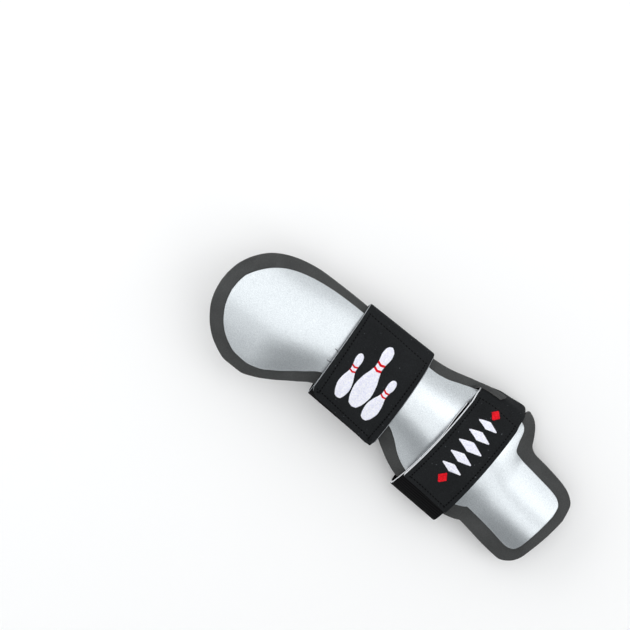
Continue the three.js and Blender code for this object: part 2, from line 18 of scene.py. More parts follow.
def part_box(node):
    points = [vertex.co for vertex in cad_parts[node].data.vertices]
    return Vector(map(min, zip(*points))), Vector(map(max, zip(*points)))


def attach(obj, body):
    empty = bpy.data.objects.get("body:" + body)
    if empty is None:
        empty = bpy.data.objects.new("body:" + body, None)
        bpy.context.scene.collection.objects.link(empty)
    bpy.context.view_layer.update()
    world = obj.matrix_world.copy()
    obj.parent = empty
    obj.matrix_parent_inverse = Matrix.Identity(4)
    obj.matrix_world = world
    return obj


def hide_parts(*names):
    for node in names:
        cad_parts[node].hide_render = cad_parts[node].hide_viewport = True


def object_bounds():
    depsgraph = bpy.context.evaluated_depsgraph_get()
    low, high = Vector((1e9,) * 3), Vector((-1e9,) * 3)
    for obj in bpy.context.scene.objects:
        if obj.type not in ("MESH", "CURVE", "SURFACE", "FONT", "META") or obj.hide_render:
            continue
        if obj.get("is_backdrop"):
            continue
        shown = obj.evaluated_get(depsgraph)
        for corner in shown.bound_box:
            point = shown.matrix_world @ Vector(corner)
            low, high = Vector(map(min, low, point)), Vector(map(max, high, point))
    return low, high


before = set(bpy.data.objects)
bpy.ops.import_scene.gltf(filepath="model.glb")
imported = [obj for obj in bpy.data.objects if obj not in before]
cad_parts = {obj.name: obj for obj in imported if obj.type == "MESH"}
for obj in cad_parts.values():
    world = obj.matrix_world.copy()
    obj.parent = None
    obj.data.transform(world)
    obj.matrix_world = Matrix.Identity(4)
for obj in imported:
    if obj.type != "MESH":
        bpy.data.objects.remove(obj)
bounds_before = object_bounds()
print("nodes", sorted(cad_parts))

# %% [markdown]
# ## Sizes and tables
# The real glove is cut to flat outlines and rolled to shape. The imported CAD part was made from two
# tables, one for the crown line and one for the outlines. They could be read back from its mesh, but its
# facets would show in the fine surface. The same tables are repeated here instead, so that the fine
# surfaces lie where the plain solids are and stay smooth at any step.

# %% Sizes
MM = 0.001
PAD_LENGTH = 302.4
PAD_WIDTH = 113.0
METAL_HEIGHT = 62.0
METAL_THICKNESS = 1.6
FOAM_THICKNESS = 3.2
STRAP_THICKNESS = 2.4
HOOK_THICKNESS = 1.0
WRIST_STRAP_WIDTH = 60.0
HAND_STRAP_WIDTH = 40.4
GAP = 0.3
TAB_LIFT = STRAP_THICKNESS + GAP + HOOK_THICKNESS + GAP
# Where the forearm end and the little-finger edge of the foam lie before the part is centred
START_X = -66.6
START_Y = -67.4
print("foam pad", PAD_LENGTH, "by", PAD_WIDTH, "mm, metal arch", METAL_HEIGHT, "mm high")

# %% Crown and outline tables
# Crown line of the metal, as shares: station of PAD_LENGTH, height of METAL_HEIGHT, bend radius of
# PAD_WIDTH, middle of the bend of PAD_WIDTH
CROWN = np.array([
    [-0.011, 1.000, 0.540, 0.415],
    [0.154, 0.935, 0.540, 0.428],
    [0.313, 0.865, 0.469, 0.535],
    [0.412, 0.827, 0.425, 0.557],
    [0.524, 0.774, 0.460, 0.557],
    [0.693, 0.669, 0.673, 0.548],
    [0.776, 0.623, 0.743, 0.552],
    [0.835, 0.587, 0.549, 0.490],
    [1.001, 0.508, 0.442, 0.459],
])
# Outline seen from above, one row per rib from the forearm end to the fingers. Each X is a share of
# PAD_LENGTH and each Y a share of PAD_WIDTH.
OUTLINE_COLUMNS = ["metalThumbX", "metalThumbY", "foamThumbX", "foamThumbY",
                   "metalLittleX", "metalLittleY", "foamLittleX", "foamLittleY"]
OUTLINE = np.array([
    [0.0348, 0.4554, 0.0013, 0.4551, 0.0348, 0.3937, 0.0014, 0.3933],
    [0.0375, 0.5064, 0.0046, 0.5212, 0.0386, 0.3477, 0.0051, 0.3294],
    [0.0455, 0.5540, 0.0145, 0.5991, 0.0446, 0.2969, 0.0128, 0.2595],
    [0.0681, 0.6400, 0.0427, 0.7121, 0.0649, 0.2048, 0.0397, 0.1430],
    [0.0989, 0.7074, 0.0816, 0.7856, 0.0949, 0.1332, 0.0782, 0.0536],
    [0.1356, 0.7511, 0.1232, 0.8270, 0.1321, 0.0907, 0.1246, 0.0042],
    [0.1751, 0.7778, 0.1683, 0.8490, 0.1629, 0.0859, 0.1654, 0.0045],
    [0.2037, 0.7896, 0.2037, 0.8536, 0.1971, 0.1084, 0.2004, 0.0371],
    [0.2401, 0.7983, 0.2401, 0.8559, 0.2335, 0.1699, 0.2368, 0.0940],
    [0.2864, 0.8026, 0.2864, 0.8568, 0.2798, 0.2685, 0.2831, 0.1841],
    [0.3261, 0.8031, 0.3261, 0.8563, 0.3228, 0.3473, 0.3261, 0.2561],
    [0.4120, 0.8034, 0.4120, 0.8537, 0.4153, 0.3845, 0.4187, 0.2817],
    [0.5179, 0.8022, 0.5179, 0.8698, 0.5179, 0.3551, 0.5146, 0.2496],
    [0.5542, 0.8146, 0.5509, 0.8830, 0.5476, 0.3158, 0.5410, 0.2134],
    [0.5939, 0.8518, 0.5906, 0.9119, 0.5840, 0.2444, 0.5741, 0.1667],
    [0.6187, 0.8770, 0.6177, 0.9350, 0.6138, 0.2051, 0.6088, 0.1299],
    [0.6356, 0.8918, 0.6356, 0.9494, 0.6336, 0.1901, 0.6303, 0.1184],
    [0.6991, 0.9246, 0.6997, 0.9905, 0.6931, 0.1698, 0.6865, 0.1078],
    [0.7543, 0.9243, 0.7599, 0.9989, 0.7394, 0.1998, 0.7394, 0.1144],
    [0.7698, 0.9115, 0.7722, 0.9965, 0.7573, 0.2160, 0.7593, 0.1218],
    [0.7789, 0.9001, 0.8026, 0.9740, 0.7692, 0.2291, 0.7758, 0.1312],
    [0.7867, 0.8702, 0.8174, 0.9376, 0.7808, 0.2436, 0.7890, 0.1419],
    [0.7924, 0.7960, 0.8274, 0.8813, 0.7890, 0.2565, 0.8006, 0.1556],
    [0.8007, 0.7427, 0.8327, 0.8402, 0.7955, 0.2675, 0.8073, 0.1646],
    [0.8225, 0.7247, 0.8505, 0.8111, 0.8386, 0.2578, 0.8435, 0.1521],
    [0.8732, 0.7096, 0.8911, 0.8007, 0.8800, 0.2451, 0.8882, 0.1345],
    [0.9333, 0.6896, 0.9500, 0.7759, 0.9277, 0.2272, 0.9423, 0.1237],
    [0.9535, 0.6721, 0.9742, 0.7514, 0.9477, 0.2422, 0.9667, 0.1573],
    [0.9667, 0.6314, 0.9943, 0.6911, 0.9563, 0.2921, 0.9795, 0.2253],
    [0.9686, 0.5689, 0.9974, 0.5872, 0.9592, 0.3488, 0.9837, 0.3199],
])
# Rows of the outline where the slit for the hand strap and the mouth in the foam outside it start and end
SLIT_FIRST_ROW, MOUTH_FIRST_ROW, MOUTH_LAST_ROW, SLIT_LAST_ROW = 16, 17, 19, 19
SLIT_INSET = 0.8
print(len(CROWN), "crown stations,", len(OUTLINE), "outline rows")

# %% Strap tables
# width, tabCorner, settled, flankLow and flankHigh are millimetres. centre is a share of PAD_LENGTH, the
# pulls are shares of PAD_WIDTH and the heights of METAL_HEIGHT. The other places are shares of PAD_WIDTH
# from START_Y, and highEase is a share of the drop to the side. slant, taper, skew and flare are
# millimetres per millimetre.
WRIST = dict(
    width=WRIST_STRAP_WIDTH, centre=0.4126, slant=0.0764, taper=0.0, skew=-0.07, flare=0.02, follows=False,
    archLow=0.305, archHigh=0.850, sideLow=0.196, sideHigh=0.868, sideLowHeight=0.42, sideHighHeight=0.42,
    flatLow=0.36, flatHigh=0.70, lowPull=0.10, highPull=0.020, highEase=0.45, flankLow=0.0, flankHigh=0.0,
    tabEnd=0.222, tabCorner=6.0, hookLow=0.27, hookHigh=0.64, bandEnd=0.715, settled=18.0)
HAND = dict(
    width=HAND_STRAP_WIDTH, centre=0.6990, slant=-0.0300, taper=0.03, skew=-0.06, flare=0.02, follows=True,
    archLow=0.125, archHigh=0.932, sideLow=0.078, sideHigh=0.974, sideLowHeight=0.22, sideHighHeight=0.15,
    flatLow=0.26, flatHigh=0.81, lowPull=0.04, highPull=0.018, highEase=0.1, flankLow=-2.4, flankHigh=2.2,
    tabEnd=0.182, tabCorner=1.5, hookLow=0.22, hookHigh=0.62, bandEnd=0.806, settled=12.0)
# The palm seam, where the under end laps below the upper end, in shares of the flat part
SEAM_LOW, SEAM_HIGH, SEAM_RAMP = 0.30, 0.70, 0.24
print("straps", WRIST["width"], "and", HAND["width"], "mm wide")


# %% [markdown]
# ## Curves and the metal's surface
# Rolled sheet has no bumps between the places where it was measured. A plain cubic spline through the
# tables overshoots and would make such bumps, and straight lines would show as bands in the reflections.
# So each column is read by a curve that never overshoots its own points. The metal's upper face is then an
# arc from side to side at every station, with its top, radius and middle read from the crown table.

# %% Curves
class Smooth:
    """Curve through points without overshoot."""

    def __init__(self, xs, ys):
        xs, ys = np.asarray(xs, float), np.asarray(ys, float)
        w = np.diff(xs)
        s = np.diff(ys) / w
        t = np.zeros(len(xs))
        t[0], t[-1] = s[0], s[-1]
        a, b = 2 * w[1:] + w[:-1], w[1:] + 2 * w[:-1]
        same = s[:-1] * s[1:] > 0
        safe0, safe1 = np.where(same, s[:-1], 1), np.where(same, s[1:], 1)
        t[1:-1] = np.where(same, (a + b) / (a / safe0 + b / safe1), 0)
        self.xs, self.ys, self.w, self.t = xs, ys, w, t

    def __call__(self, x):
        x = np.asarray(x, float)
        i = np.clip(np.searchsorted(self.xs, x, side="right") - 1, 0, len(self.w) - 1)
        w, y0, y1, m0, m1 = self.w[i], self.ys[i], self.ys[i + 1], self.t[i], self.t[i + 1]
        u = (x - self.xs[i]) / w
        c = np.clip(u, 0, 1)
        rise = 3 * c * c - 2 * c ** 3
        y = y0 * (1 - rise) + y1 * rise + w * (m0 * (c ** 3 - 2 * c * c + c) + m1 * (c ** 3 - c * c))
        return y + np.where(u < 0, m0 * w * u, 0) + np.where(u > 1, m1 * w * (u - 1), 0)


def mix(a, b, t):
    return a + (b - a) * t


def smooth_step(a, b, x):
    t = np.clip((np.asarray(x, float) - a) / (b - a), 0, 1)
    return t * t * (3 - 2 * t)


# %% Surface of the metal
SLOPE_STEP = 0.5
stations = START_X + CROWN[:, 0] * PAD_LENGTH
crown_height = Smooth(stations, CROWN[:, 1] * METAL_HEIGHT)
crown_radius = Smooth(stations, CROWN[:, 2] * PAD_WIDTH)
crown_middle = Smooth(stations, START_Y + CROWN[:, 3] * PAD_WIDTH)


def metal_top(x, y):
    """Height of the metal's upper face, carried on past its edges."""
    r, d = crown_radius(x), y - crown_middle(x)
    return crown_height(x) - r + np.sqrt(np.maximum(r * r - d * d, 1))


def metal_normal(x, y):
    sx = (metal_top(x + SLOPE_STEP, y) - metal_top(x - SLOPE_STEP, y))
    sy = (metal_top(x, y + SLOPE_STEP) - metal_top(x, y - SLOPE_STEP))
    n = np.stack([-sx, -sy, np.full_like(sx, 2 * SLOPE_STEP)], -1)
    return n / np.linalg.norm(n, axis=-1, keepdims=True)


print("crown", crown_height(stations[0]).round(1), "mm at the forearm,",
      crown_height(stations[-1]).round(1), "mm at the fingers")

# %% Outlines
RIBS_PER_ROW = 2
THUMB_EDGE_FIRST_ROW, THUMB_EDGE_LAST_ROW = 11, 21
outline = {}
for column, name in enumerate(OUTLINE_COLUMNS):
    start, size = (START_X, PAD_LENGTH) if name.endswith("X") else (START_Y, PAD_WIDTH)
    outline[name] = Smooth(np.arange(len(OUTLINE)), start + OUTLINE[:, column] * size)


def edge_at(name, rows):
    return np.stack([outline[name + "X"](rows), outline[name + "Y"](rows)], -1)


def ribs(first, last):
    return np.arange(first * RIBS_PER_ROW, last * RIBS_PER_ROW + 1) / RIBS_PER_ROW


coarse_rows = ribs(THUMB_EDGE_FIRST_ROW, THUMB_EDGE_LAST_ROW)
thumb_edge = Smooth(outline["metalThumbX"](coarse_rows), outline["metalThumbY"](coarse_rows))

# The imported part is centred, so the tables are moved by the same amount
all_rows = ribs(0, len(OUTLINE) - 1)
plate_low, plate_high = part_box("plate")
SHIFT = np.array([
    plate_low.x / MM - min(outline[name](all_rows).min() for name in ("metalThumbX", "metalLittleX")),
    plate_high.y / MM - outline["metalThumbY"](all_rows).max(),
    0.0,
])
print("tables moved by", SHIFT.round(2), "mm")


# %% [markdown]
# ## Strap paths
# A strap is one closed path: over the metal, down the thumb side, along the palm side and up again.
# It could be drawn by hand as a curve, but then it wouldn't follow when a size changes. Here the part over
# the metal is read from the metal's own surface, and four smooth bends with named guide points join it to
# the flat part below. The path parameter u runs 0 to 1 over the metal, to 3 down the thumb side, to 4 along
# the flat part and to 6 up to the metal again. Everything sewn or laid on a strap is placed on this path.

# %% Shape of a strap's path
ROUND = 6
# Guide points of the bends at the sides, as shares of the way between their ends
BEND_BELOW, BEND_FOOT, BEND_ABOVE = 0.6, 0.5, 0.55
FLANK_START = -0.2


def bezier(guides, v):
    """Place across and height at a share v of a bend with four guide points."""
    v = np.clip(v, 0, 1)
    k = [(1 - v) ** 3, 3 * (1 - v) ** 2 * v, 3 * (1 - v) * v * v, v ** 3]
    return sum(a * p[0] for a, p in zip(k, guides)), sum(a * p[1] for a, p in zip(k, guides))


class StrapPath:
    """Closed path of a strap. side runs -1 to 1 across it, from the forearm edge to the finger edge.

    q is the place from side to side of the glove and z the height, in millimetres."""

    def __init__(self, sizes):
        self.s = sizes
        self.half = sizes["width"] / 2
        self.centre = START_X + sizes["centre"] * PAD_LENGTH

    def across(self, share):
        return START_Y + share * PAD_WIDTH

    def plan(self, q, side):
        return self.centre + side * (self.s["width"] - self.s["taper"] * q) / 2 - q * self.s["slant"]

    def arch(self, q, side):
        x = self.plan(q, side)
        return metal_top(x, q) + GAP / metal_normal(x, q)[..., 2]

    def arch_end(self, side):
        """Where the path leaves the metal at the thumb side: straight, or along the metal's edge."""
        q = np.full_like(side, self.across(self.s["archHigh"]))
        if not self.s["follows"]:
            return q + side * self.s["flare"] * self.half
        for _ in range(4):
            q = thumb_edge(self.plan(q, side)) + SLIT_INSET
        return q

    def thumb_side(self, high, side, turn):
        """The two bends from the metal down to the flat part."""
        s, t = self.s, STRAP_THICKNESS
        flat = self.across(s["flatHigh"])
        high_z, before_z = self.arch(high, side), self.arch(high - SLOPE_STEP, side)
        run = np.hypot(SLOPE_STEP, high_z - before_z)
        pull = s["highPull"] * PAD_WIDTH
        side_q = self.across(s["sideHigh"]) + high - self.across(s["archHigh"])
        side_q = (side_q + s["flankLow"] * smooth_step(FLANK_START, 1, -side)
                  + s["flankHigh"] * smooth_step(0, 1, side))
        side_z = s["sideHighHeight"] * METAL_HEIGHT
        lead = (high + SLOPE_STEP / run * pull, high_z + (high_z - before_z) / run * pull)
        return [bezier([(high, high_z), lead, (side_q, mix(side_z, high_z, s["highEase"])),
                        (side_q, side_z)], turn - 1),
                bezier([(side_q, side_z), (side_q, mix(side_z, t, BEND_BELOW)),
                        (mix(flat, side_q, BEND_FOOT), t), (flat, t)], turn - 2)]

    def little_side(self, low, side, turn):
        """The two bends from the flat part up to the metal."""
        s, t = self.s, STRAP_THICKNESS
        flat = self.across(s["flatLow"])
        side_q = self.across(s["sideLow"]) - side * s["flare"] * self.half
        side_z = s["sideLowHeight"] * METAL_HEIGHT
        low_z, after_z = self.arch(low, side), self.arch(low + SLOPE_STEP, side)
        run = np.hypot(SLOPE_STEP, after_z - low_z)
        pull = s["lowPull"] * PAD_WIDTH
        lead = (low - SLOPE_STEP / run * pull, low_z - (after_z - low_z) / run * pull)
        return [bezier([(flat, t), (mix(flat, side_q, BEND_FOOT), t), (side_q, mix(side_z, t, BEND_BELOW)),
                        (side_q, side_z)], turn - 4),
                bezier([(side_q, side_z), (side_q, mix(side_z, low_z, BEND_ABOVE)), lead, (low, low_z)],
                       turn - 5)]

    def point(self, u, side):
        """Place across and height at path parameter u."""
        u, side = np.broadcast_arrays(np.asarray(u, float), np.asarray(side, float))
        turn = np.mod(u, ROUND)
        high = self.arch_end(side)
        low = self.across(self.s["archLow"]) - side * self.s["flare"] * self.half
        over = mix(low, high, np.clip(turn, 0, 1))
        palm = mix(self.across(self.s["flatHigh"]), self.across(self.s["flatLow"]), turn - 3)
        parts = [(over, self.arch(over, side)), *self.thumb_side(high, side, turn),
                 (palm, np.full_like(turn, STRAP_THICKNESS)), *self.little_side(low, side, turn)]
        which = [turn <= k + 1 for k in range(ROUND)]
        return tuple(np.select(which, [p[k] * np.ones_like(turn) for p in parts]) for k in (0, 1))


# %% Lengths and places along a path
PATH_STEP = 0.01
PATH_POINTS = 3201


class Loop(StrapPath):
    """A strap's path with its lengths, and where the upper end lies on it."""

    def __init__(self, sizes):
        super().__init__(sizes)
        self.u = np.linspace(-1, ROUND + 1, PATH_POINTS)
        q, z = self.point(self.u, 0.0)
        self.middle = q
        self.lengths = np.concatenate([[0], np.cumsum(np.hypot(np.diff(q), np.diff(z)))])

    def placed(self, u, side, distance):
        """Points of the path moved outwards by a distance, in millimetres."""
        q, z = self.point(u, side)
        q1, z1 = self.point(np.asarray(u) + PATH_STEP, side)
        q0, z0 = self.point(np.asarray(u) - PATH_STEP, side)
        run = np.hypot(q1 - q0, z1 - z0)
        q, z = q - (z1 - z0) / run * distance, z + (q1 - q0) / run * distance
        return np.stack([self.plan(q, side), q, z], -1)

    def at_across(self, share):
        """Path parameter on the upper half where the strap's middle line passes a place across."""
        upper = (self.u >= -0.9) & (self.u <= 1.0)
        return float(np.interp(self.across(share), self.middle[upper], self.u[upper]))

    def length_at(self, u):
        return np.interp(u, self.u, self.lengths)

    def at_length(self, length):
        return np.interp(length, self.lengths, self.u)

    def tab_offset(self, u):
        """Height of the upper end over the path: over the hook tape, then down on the metal."""
        past = self.length_at(u) - self.length_at(self.at_across(self.s["bandEnd"]))
        over = TAB_LIFT * (1 - smooth_step(GAP, self.s["settled"], past))
        seam = smooth_step(3 + SEAM_LOW - SEAM_RAMP, 3 + SEAM_LOW - 0.02, u)
        return np.where(np.asarray(u) < 2, over, -(STRAP_THICKNESS + GAP) * seam)

    def tab_start(self, side):
        """Length along the path where the upper end starts, with its rounded corners."""
        radius = self.s["tabCorner"]
        depth = self.half - np.abs(side) * self.half
        inset = radius - np.sqrt(np.maximum(radius ** 2 - (radius - depth) ** 2, 0))
        first = self.length_at(self.at_across(self.s["tabEnd"]))
        return first + np.where(depth < radius, inset, 0) + side * self.half * self.s["skew"]


# %% Strap loops
wrist, hand = Loop(WRIST), Loop(HAND)
for tag, loop in (("wrist", wrist), ("hand", hand)):
    print(tag, "strap path", round(loop.length_at(ROUND) - loop.length_at(0)), "mm round")


# %% [markdown]
# ## Closed sheets
# Metal, foam and straps are all cut from sheet stock. Each could be a flat mesh with a Solidify modifier,
# but Solidify can't thin a sheet from place to place, press its edge or give the cut edge its own layers.
# So one routine makes them all from two grids of points, the upper face and the lower face. Cells that are
# cut away are left out, and a wall runs round what is left, bulged and rounded as the cut edge is.

# %% Mesh objects
SHARP_ANGLE = 40
STRAP_UV = "across_along"


def put_in_scene(name, data):
    obj = bpy.data.objects.new(name, data)
    bpy.context.scene.collection.objects.link(obj)
    return obj


def mesh_object(name, points_mm, faces, materials, face_material, uv=None):
    mesh = bpy.data.meshes.new(name)
    mesh.from_pydata(((np.asarray(points_mm) + SHIFT) * MM).tolist(), [], [tuple(f) for f in faces])
    for material in materials:
        mesh.materials.append(material)
    mesh.polygons.foreach_set("material_index", np.asarray(face_material, np.int32))
    if uv is not None:
        corner = np.empty(len(mesh.loops), np.int32)
        mesh.loops.foreach_get("vertex_index", corner)
        layer = mesh.uv_layers.new(name=STRAP_UV)
        layer.data.foreach_set("uv", (np.asarray(uv)[corner] * MM).astype(np.float32).ravel())
    mesh.polygons.foreach_set("use_smooth", np.ones(len(mesh.polygons), bool))
    mesh.update()
    mesh.set_sharp_from_angle(angle=math.radians(SHARP_ANGLE))
    return put_in_scene(name, mesh)


# %% Rim of a grid
def used_points(kept):
    """Which points of a grid touch a kept cell."""
    rows, columns = kept.shape
    used = np.zeros((rows + 1, columns + 1), bool)
    for di in (0, 1):
        for dj in (0, 1):
            used[di:rows + di, dj:columns + dj] |= kept
    return used


def open_edges(kept, number):
    """Edges with a kept cell on one side only, as pairs of point numbers that run with the cell."""
    i, j = np.nonzero(kept)
    padded = np.pad(kept, 1)
    edges = []
    for di, dj, a, b in ((0, -1, (0, 0), (1, 0)), (0, 1, (1, 1), (0, 1)),
                         (-1, 0, (0, 1), (0, 0)), (1, 0, (1, 0), (1, 1))):
        bare = ~padded[i + 1 + di, j + 1 + dj]
        edges.append(np.stack([number[i[bare] + a[0], j[bare] + a[1]],
                               number[i[bare] + b[0], j[bare] + b[1]]], -1))
    return np.concatenate(edges)


def outward_of(up, down, cells, edges):
    """Direction out of the sheet at each point of its rim, and whether the cells face downwards."""
    thick = up - down
    thick /= np.linalg.norm(thick, axis=1, keepdims=True)
    normal = np.cross(up[cells[:, 2]] - up[cells[:, 0]], up[cells[:, 3]] - up[cells[:, 1]])
    turned = (normal * thick[cells[:, 0]]).sum() < 0
    run = up[edges[:, 1]] - up[edges[:, 0]]
    out = np.cross(run, thick[edges[:, 0]]) * (-1 if turned else 1)
    outward = np.zeros_like(up)
    np.add.at(outward, edges[:, 0], out)
    np.add.at(outward, edges[:, 1], out)
    return outward / np.maximum(np.linalg.norm(outward, axis=1, keepdims=True), 1e-9), turned


# %% Sheet builder
def sheet_body(name, upper, lower, materials, levels, wall_material, bulge, keep=None, uv=None):
    """Closed body between two grids. levels are (share of the depth, share of the bulge)."""
    kept = np.ones((upper.shape[0] - 1, upper.shape[1] - 1), bool) if keep is None else keep
    used = used_points(kept)
    count = int(used.sum())
    number = np.full(used.shape, -1)
    number[used] = np.arange(count)
    up, down = upper[used], lower[used]
    i, j = np.nonzero(kept)
    a, b, c, d = number[i, j], number[i + 1, j], number[i + 1, j + 1], number[i, j + 1]
    faces = [np.stack([a, b, c, d], -1), np.stack([a, d, c, b], -1) + count]
    kind = [np.zeros(len(i), int), np.full(len(i), wall_material[-1])]

    edges = open_edges(kept, number)
    outward, turned = outward_of(up, down, faces[0], edges)
    rim = np.unique(edges)
    amount = bulge[used][rim][:, None] if isinstance(bulge, np.ndarray) else bulge
    place_on_rim = np.full(count, -1)
    place_on_rim[rim] = np.arange(len(rim))
    points, rings = [up, down], [np.arange(count)]
    for k, (depth, share) in enumerate(levels[1:-1]):
        points.append(mix(up[rim], down[rim], depth) + outward[rim] * amount * share)
        rings.append(2 * count + k * len(rim) + place_on_rim)
    rings.append(np.arange(count) + count)
    a, b = edges[:, 0], edges[:, 1]
    for k in range(len(levels) - 1):
        faces.append(np.stack([rings[k][a], rings[k + 1][a], rings[k + 1][b], rings[k][b]], -1))
        kind.append(np.full(len(edges), wall_material[k]))

    faces = np.concatenate(faces)[:, ::-1 if turned else 1]
    if uv is not None:
        flat = uv[used]
        uv = np.concatenate([flat, flat] + [flat[rim]] * (len(levels) - 2))
    obj = mesh_object(name, np.concatenate(points), faces, materials, np.concatenate(kind), uv)
    print(name, len(obj.data.polygons), "faces")
    return obj


def round_levels(edge, thickness, steps=3):
    """Wall profile with a rounded upper and lower edge."""
    levels = []
    for k in range(steps + 1):
        a = math.pi / 2 * k / steps
        levels.append((edge * (1 - math.cos(a)) / thickness, math.sin(a)))
    return levels + [(1 - d, s) for d, s in reversed(levels)]


# %% [markdown]
# ## Finishes
# The splint is aluminium with a fine matt grain. The foam shows pores and paler cut edges, the straps a
# fuzzy knit and, on the under ends, ribs. Painted textures could show all this, but they'd be tied to one
# size of picture. Each finish is mixed instead from small procedural textures at real scale, which stay
# sharp at any distance. Patterns that follow the cloth read the strap's own UV map, the others its place.

# %% Material helpers
class NodeTable:
    """Nodes of one material, each made and joined in one call."""

    def __init__(self, name, **values):
        self.material = bpy.data.materials.new(name)
        self.material.use_nodes = True
        self.nodes = self.material.node_tree.nodes
        self.links = self.material.node_tree.links
        self.shader = self.nodes["Principled BSDF"]
        for key, value in values.items():
            self.shader.inputs[key.replace("_", " ")].default_value = value

    def node(self, kind, inputs=None, **settings):
        made = self.nodes.new(kind)
        for key, value in settings.items():
            setattr(made, key, value)
        for key, value in (inputs or {}).items():
            if isinstance(value, bpy.types.NodeSocket):
                self.links.new(value, made.inputs[key])
            else:
                made.inputs[key].default_value = value
        return made

    def place(self, uv=False):
        """Where a pattern is read: on the strap's own UV map, or in the glove's frame."""
        if uv:
            return self.node("ShaderNodeUVMap", uv_map=STRAP_UV).outputs["UV"]
        return self.node("ShaderNodeTexCoord").outputs["Object"]

    def noise(self, place, scale, detail=2.0, rough=0.5):
        return self.node("ShaderNodeTexNoise", {"Vector": place, "Scale": scale, "Detail": detail,
                                                "Roughness": rough}).outputs["Fac"]

    def ramp(self, value, low, high, start=0.0, end=1.0):
        made = self.node("ShaderNodeMapRange", {"Value": value, "From Min": start, "From Max": end,
                                                "To Min": low, "To Max": high})
        return made.outputs["Result"]

    def add(self, a, b, kind="ADD"):
        made = self.node("ShaderNodeMath", operation=kind)
        for slot, value in enumerate((a, b)):
            if isinstance(value, bpy.types.NodeSocket):
                self.links.new(value, made.inputs[slot])
            else:
                made.inputs[slot].default_value = value
        return made.outputs[0]


# %% Paint and colour helpers
class Paint(NodeTable):
    """Short way to mix a finish and join it to the shader."""

    def shade(self, value, dark, light):
        made = self.node("ShaderNodeMix", {"Factor": value}, data_type="RGBA")
        made.inputs[6].default_value = (*dark, 1)
        made.inputs[7].default_value = (*light, 1)
        return made.outputs[2]

    def over(self, amount, below, light):
        """A pale colour laid over another where amount is 1."""
        made = self.node("ShaderNodeMix", {"Factor": amount}, data_type="RGBA")
        self.links.new(below, made.inputs[6])
        made.inputs[7].default_value = (*light, 1)
        return made.outputs[2]

    def wave(self, place, axis, period):
        """Smooth ridges of a period in metres along a UV axis, 0 to 1."""
        split = self.node("ShaderNodeSeparateXYZ", {"Vector": place}).outputs[axis]
        turn = self.add(split, 2 * math.pi / period, "MULTIPLY")
        return self.ramp(self.add(turn, 0.0, "SINE"), 0.0, 1.0, -1.0, 1.0)

    def colour(self, socket):
        self.links.new(socket, self.shader.inputs["Base Color"])

    def rough(self, socket):
        self.links.new(socket, self.shader.inputs["Roughness"])

    def bump(self, height, distance, strength=1.0):
        made = self.node("ShaderNodeBump", {"Height": height, "Distance": distance, "Strength": strength})
        self.links.new(made.outputs["Normal"], self.shader.inputs["Normal"])
        return self.material


def linear(*values):
    """Screen colour 0 to 255 to the shader's linear value."""
    out = []
    for value in values:
        c = value / 255
        out.append(c / 12.92 if c <= 0.04045 else ((c + 0.055) / 1.055) ** 2.4)
    return tuple(out)


# %% Metal and foam finishes
def metal_finish():
    p = Paint("brushed_aluminium", Metallic=1.0)
    place = p.place()
    grain = p.noise(place, 2300, 3.0, 0.6)
    cloud = p.noise(place, 45, 3.0)
    p.colour(p.shade(p.ramp(grain, 0, 1, 0.3, 0.7), linear(184, 190, 194), linear(237, 242, 245)))
    p.rough(p.add(p.ramp(cloud, -0.02, 0.02), p.ramp(grain, 0.28, 0.34, 0.3, 0.7)))
    return p.bump(grain, 0.00003, 0.4)


def foam_finish(name, dark, light):
    p = Paint(name, Roughness=0.92, Specular_IOR_Level=0.08)
    place = p.place()
    pores = p.noise(place, 2200, 2.0)
    cloud = p.noise(place, 60, 2.0)
    p.colour(p.shade(p.add(p.ramp(cloud, 0, 0.6), p.ramp(pores, -0.1, 0.5, 0.3, 0.7)), dark, light))
    return p.bump(pores, 0.00012, 0.6)


# %% Strap and thread finishes
RIB_PITCH = 2.1


def strap_finish(name, dark, light):
    p = Paint(name, Roughness=0.75, Specular_IOR_Level=0.03)
    place, lay = p.place(), p.place(uv=True)
    knit = p.add(p.wave(lay, "X", 0.0007), p.wave(lay, "Y", 0.0005), "MULTIPLY")
    fuzz = p.noise(place, 1300, 3.0)
    cloud = p.noise(place, 40, 2.0)
    tone = p.add(p.ramp(knit, 0, 0.35), p.ramp(fuzz, 0, 0.6, 0.25, 0.75))
    cloth = p.shade(p.add(tone, p.ramp(cloud, -0.2, 0.2)), dark, light)
    lint = p.ramp(p.noise(place, 640, 0.0), 0, 0.5, 0.82, 0.84)
    p.colour(p.over(lint, cloth, linear(96, 100, 104)))
    return p.bump(p.add(knit, fuzz), 0.00008, 0.6)


def rib_finish(name, dark, light):
    p = Paint(name, Roughness=0.85, Specular_IOR_Level=0.03)
    place, lay = p.place(), p.place(uv=True)
    ribs = p.wave(lay, "Y", RIB_PITCH * MM)
    weave = p.wave(lay, "X", 0.0006)
    fuzz = p.noise(place, 1500, 2.0)
    p.colour(p.shade(p.add(p.ramp(ribs, 0, 0.6), p.ramp(fuzz, 0, 0.4)), dark, light))
    return p.bump(p.add(p.add(ribs, 2.0, "MULTIPLY"), weave), 0.00015, 0.7)


def core_finish(name, dark, light):
    p = Paint(name, Roughness=0.85)
    place = p.place()
    cells = p.noise(place, 1800, 2.0)
    p.colour(p.shade(p.ramp(cells, 0, 1, 0.3, 0.7), dark, light))
    return p.bump(cells, 0.0001, 0.6)


def thread_finish(name, dark, light, gloss=0.3, roughness=0.5):
    p = Paint(name, Roughness=roughness, Specular_IOR_Level=gloss)
    place = p.place()
    twist = p.noise(place, 900, 2.0)
    p.colour(p.shade(p.ramp(twist, 0, 1, 0.3, 0.7), dark, light))
    return p.bump(twist, 0.00003, 0.4)


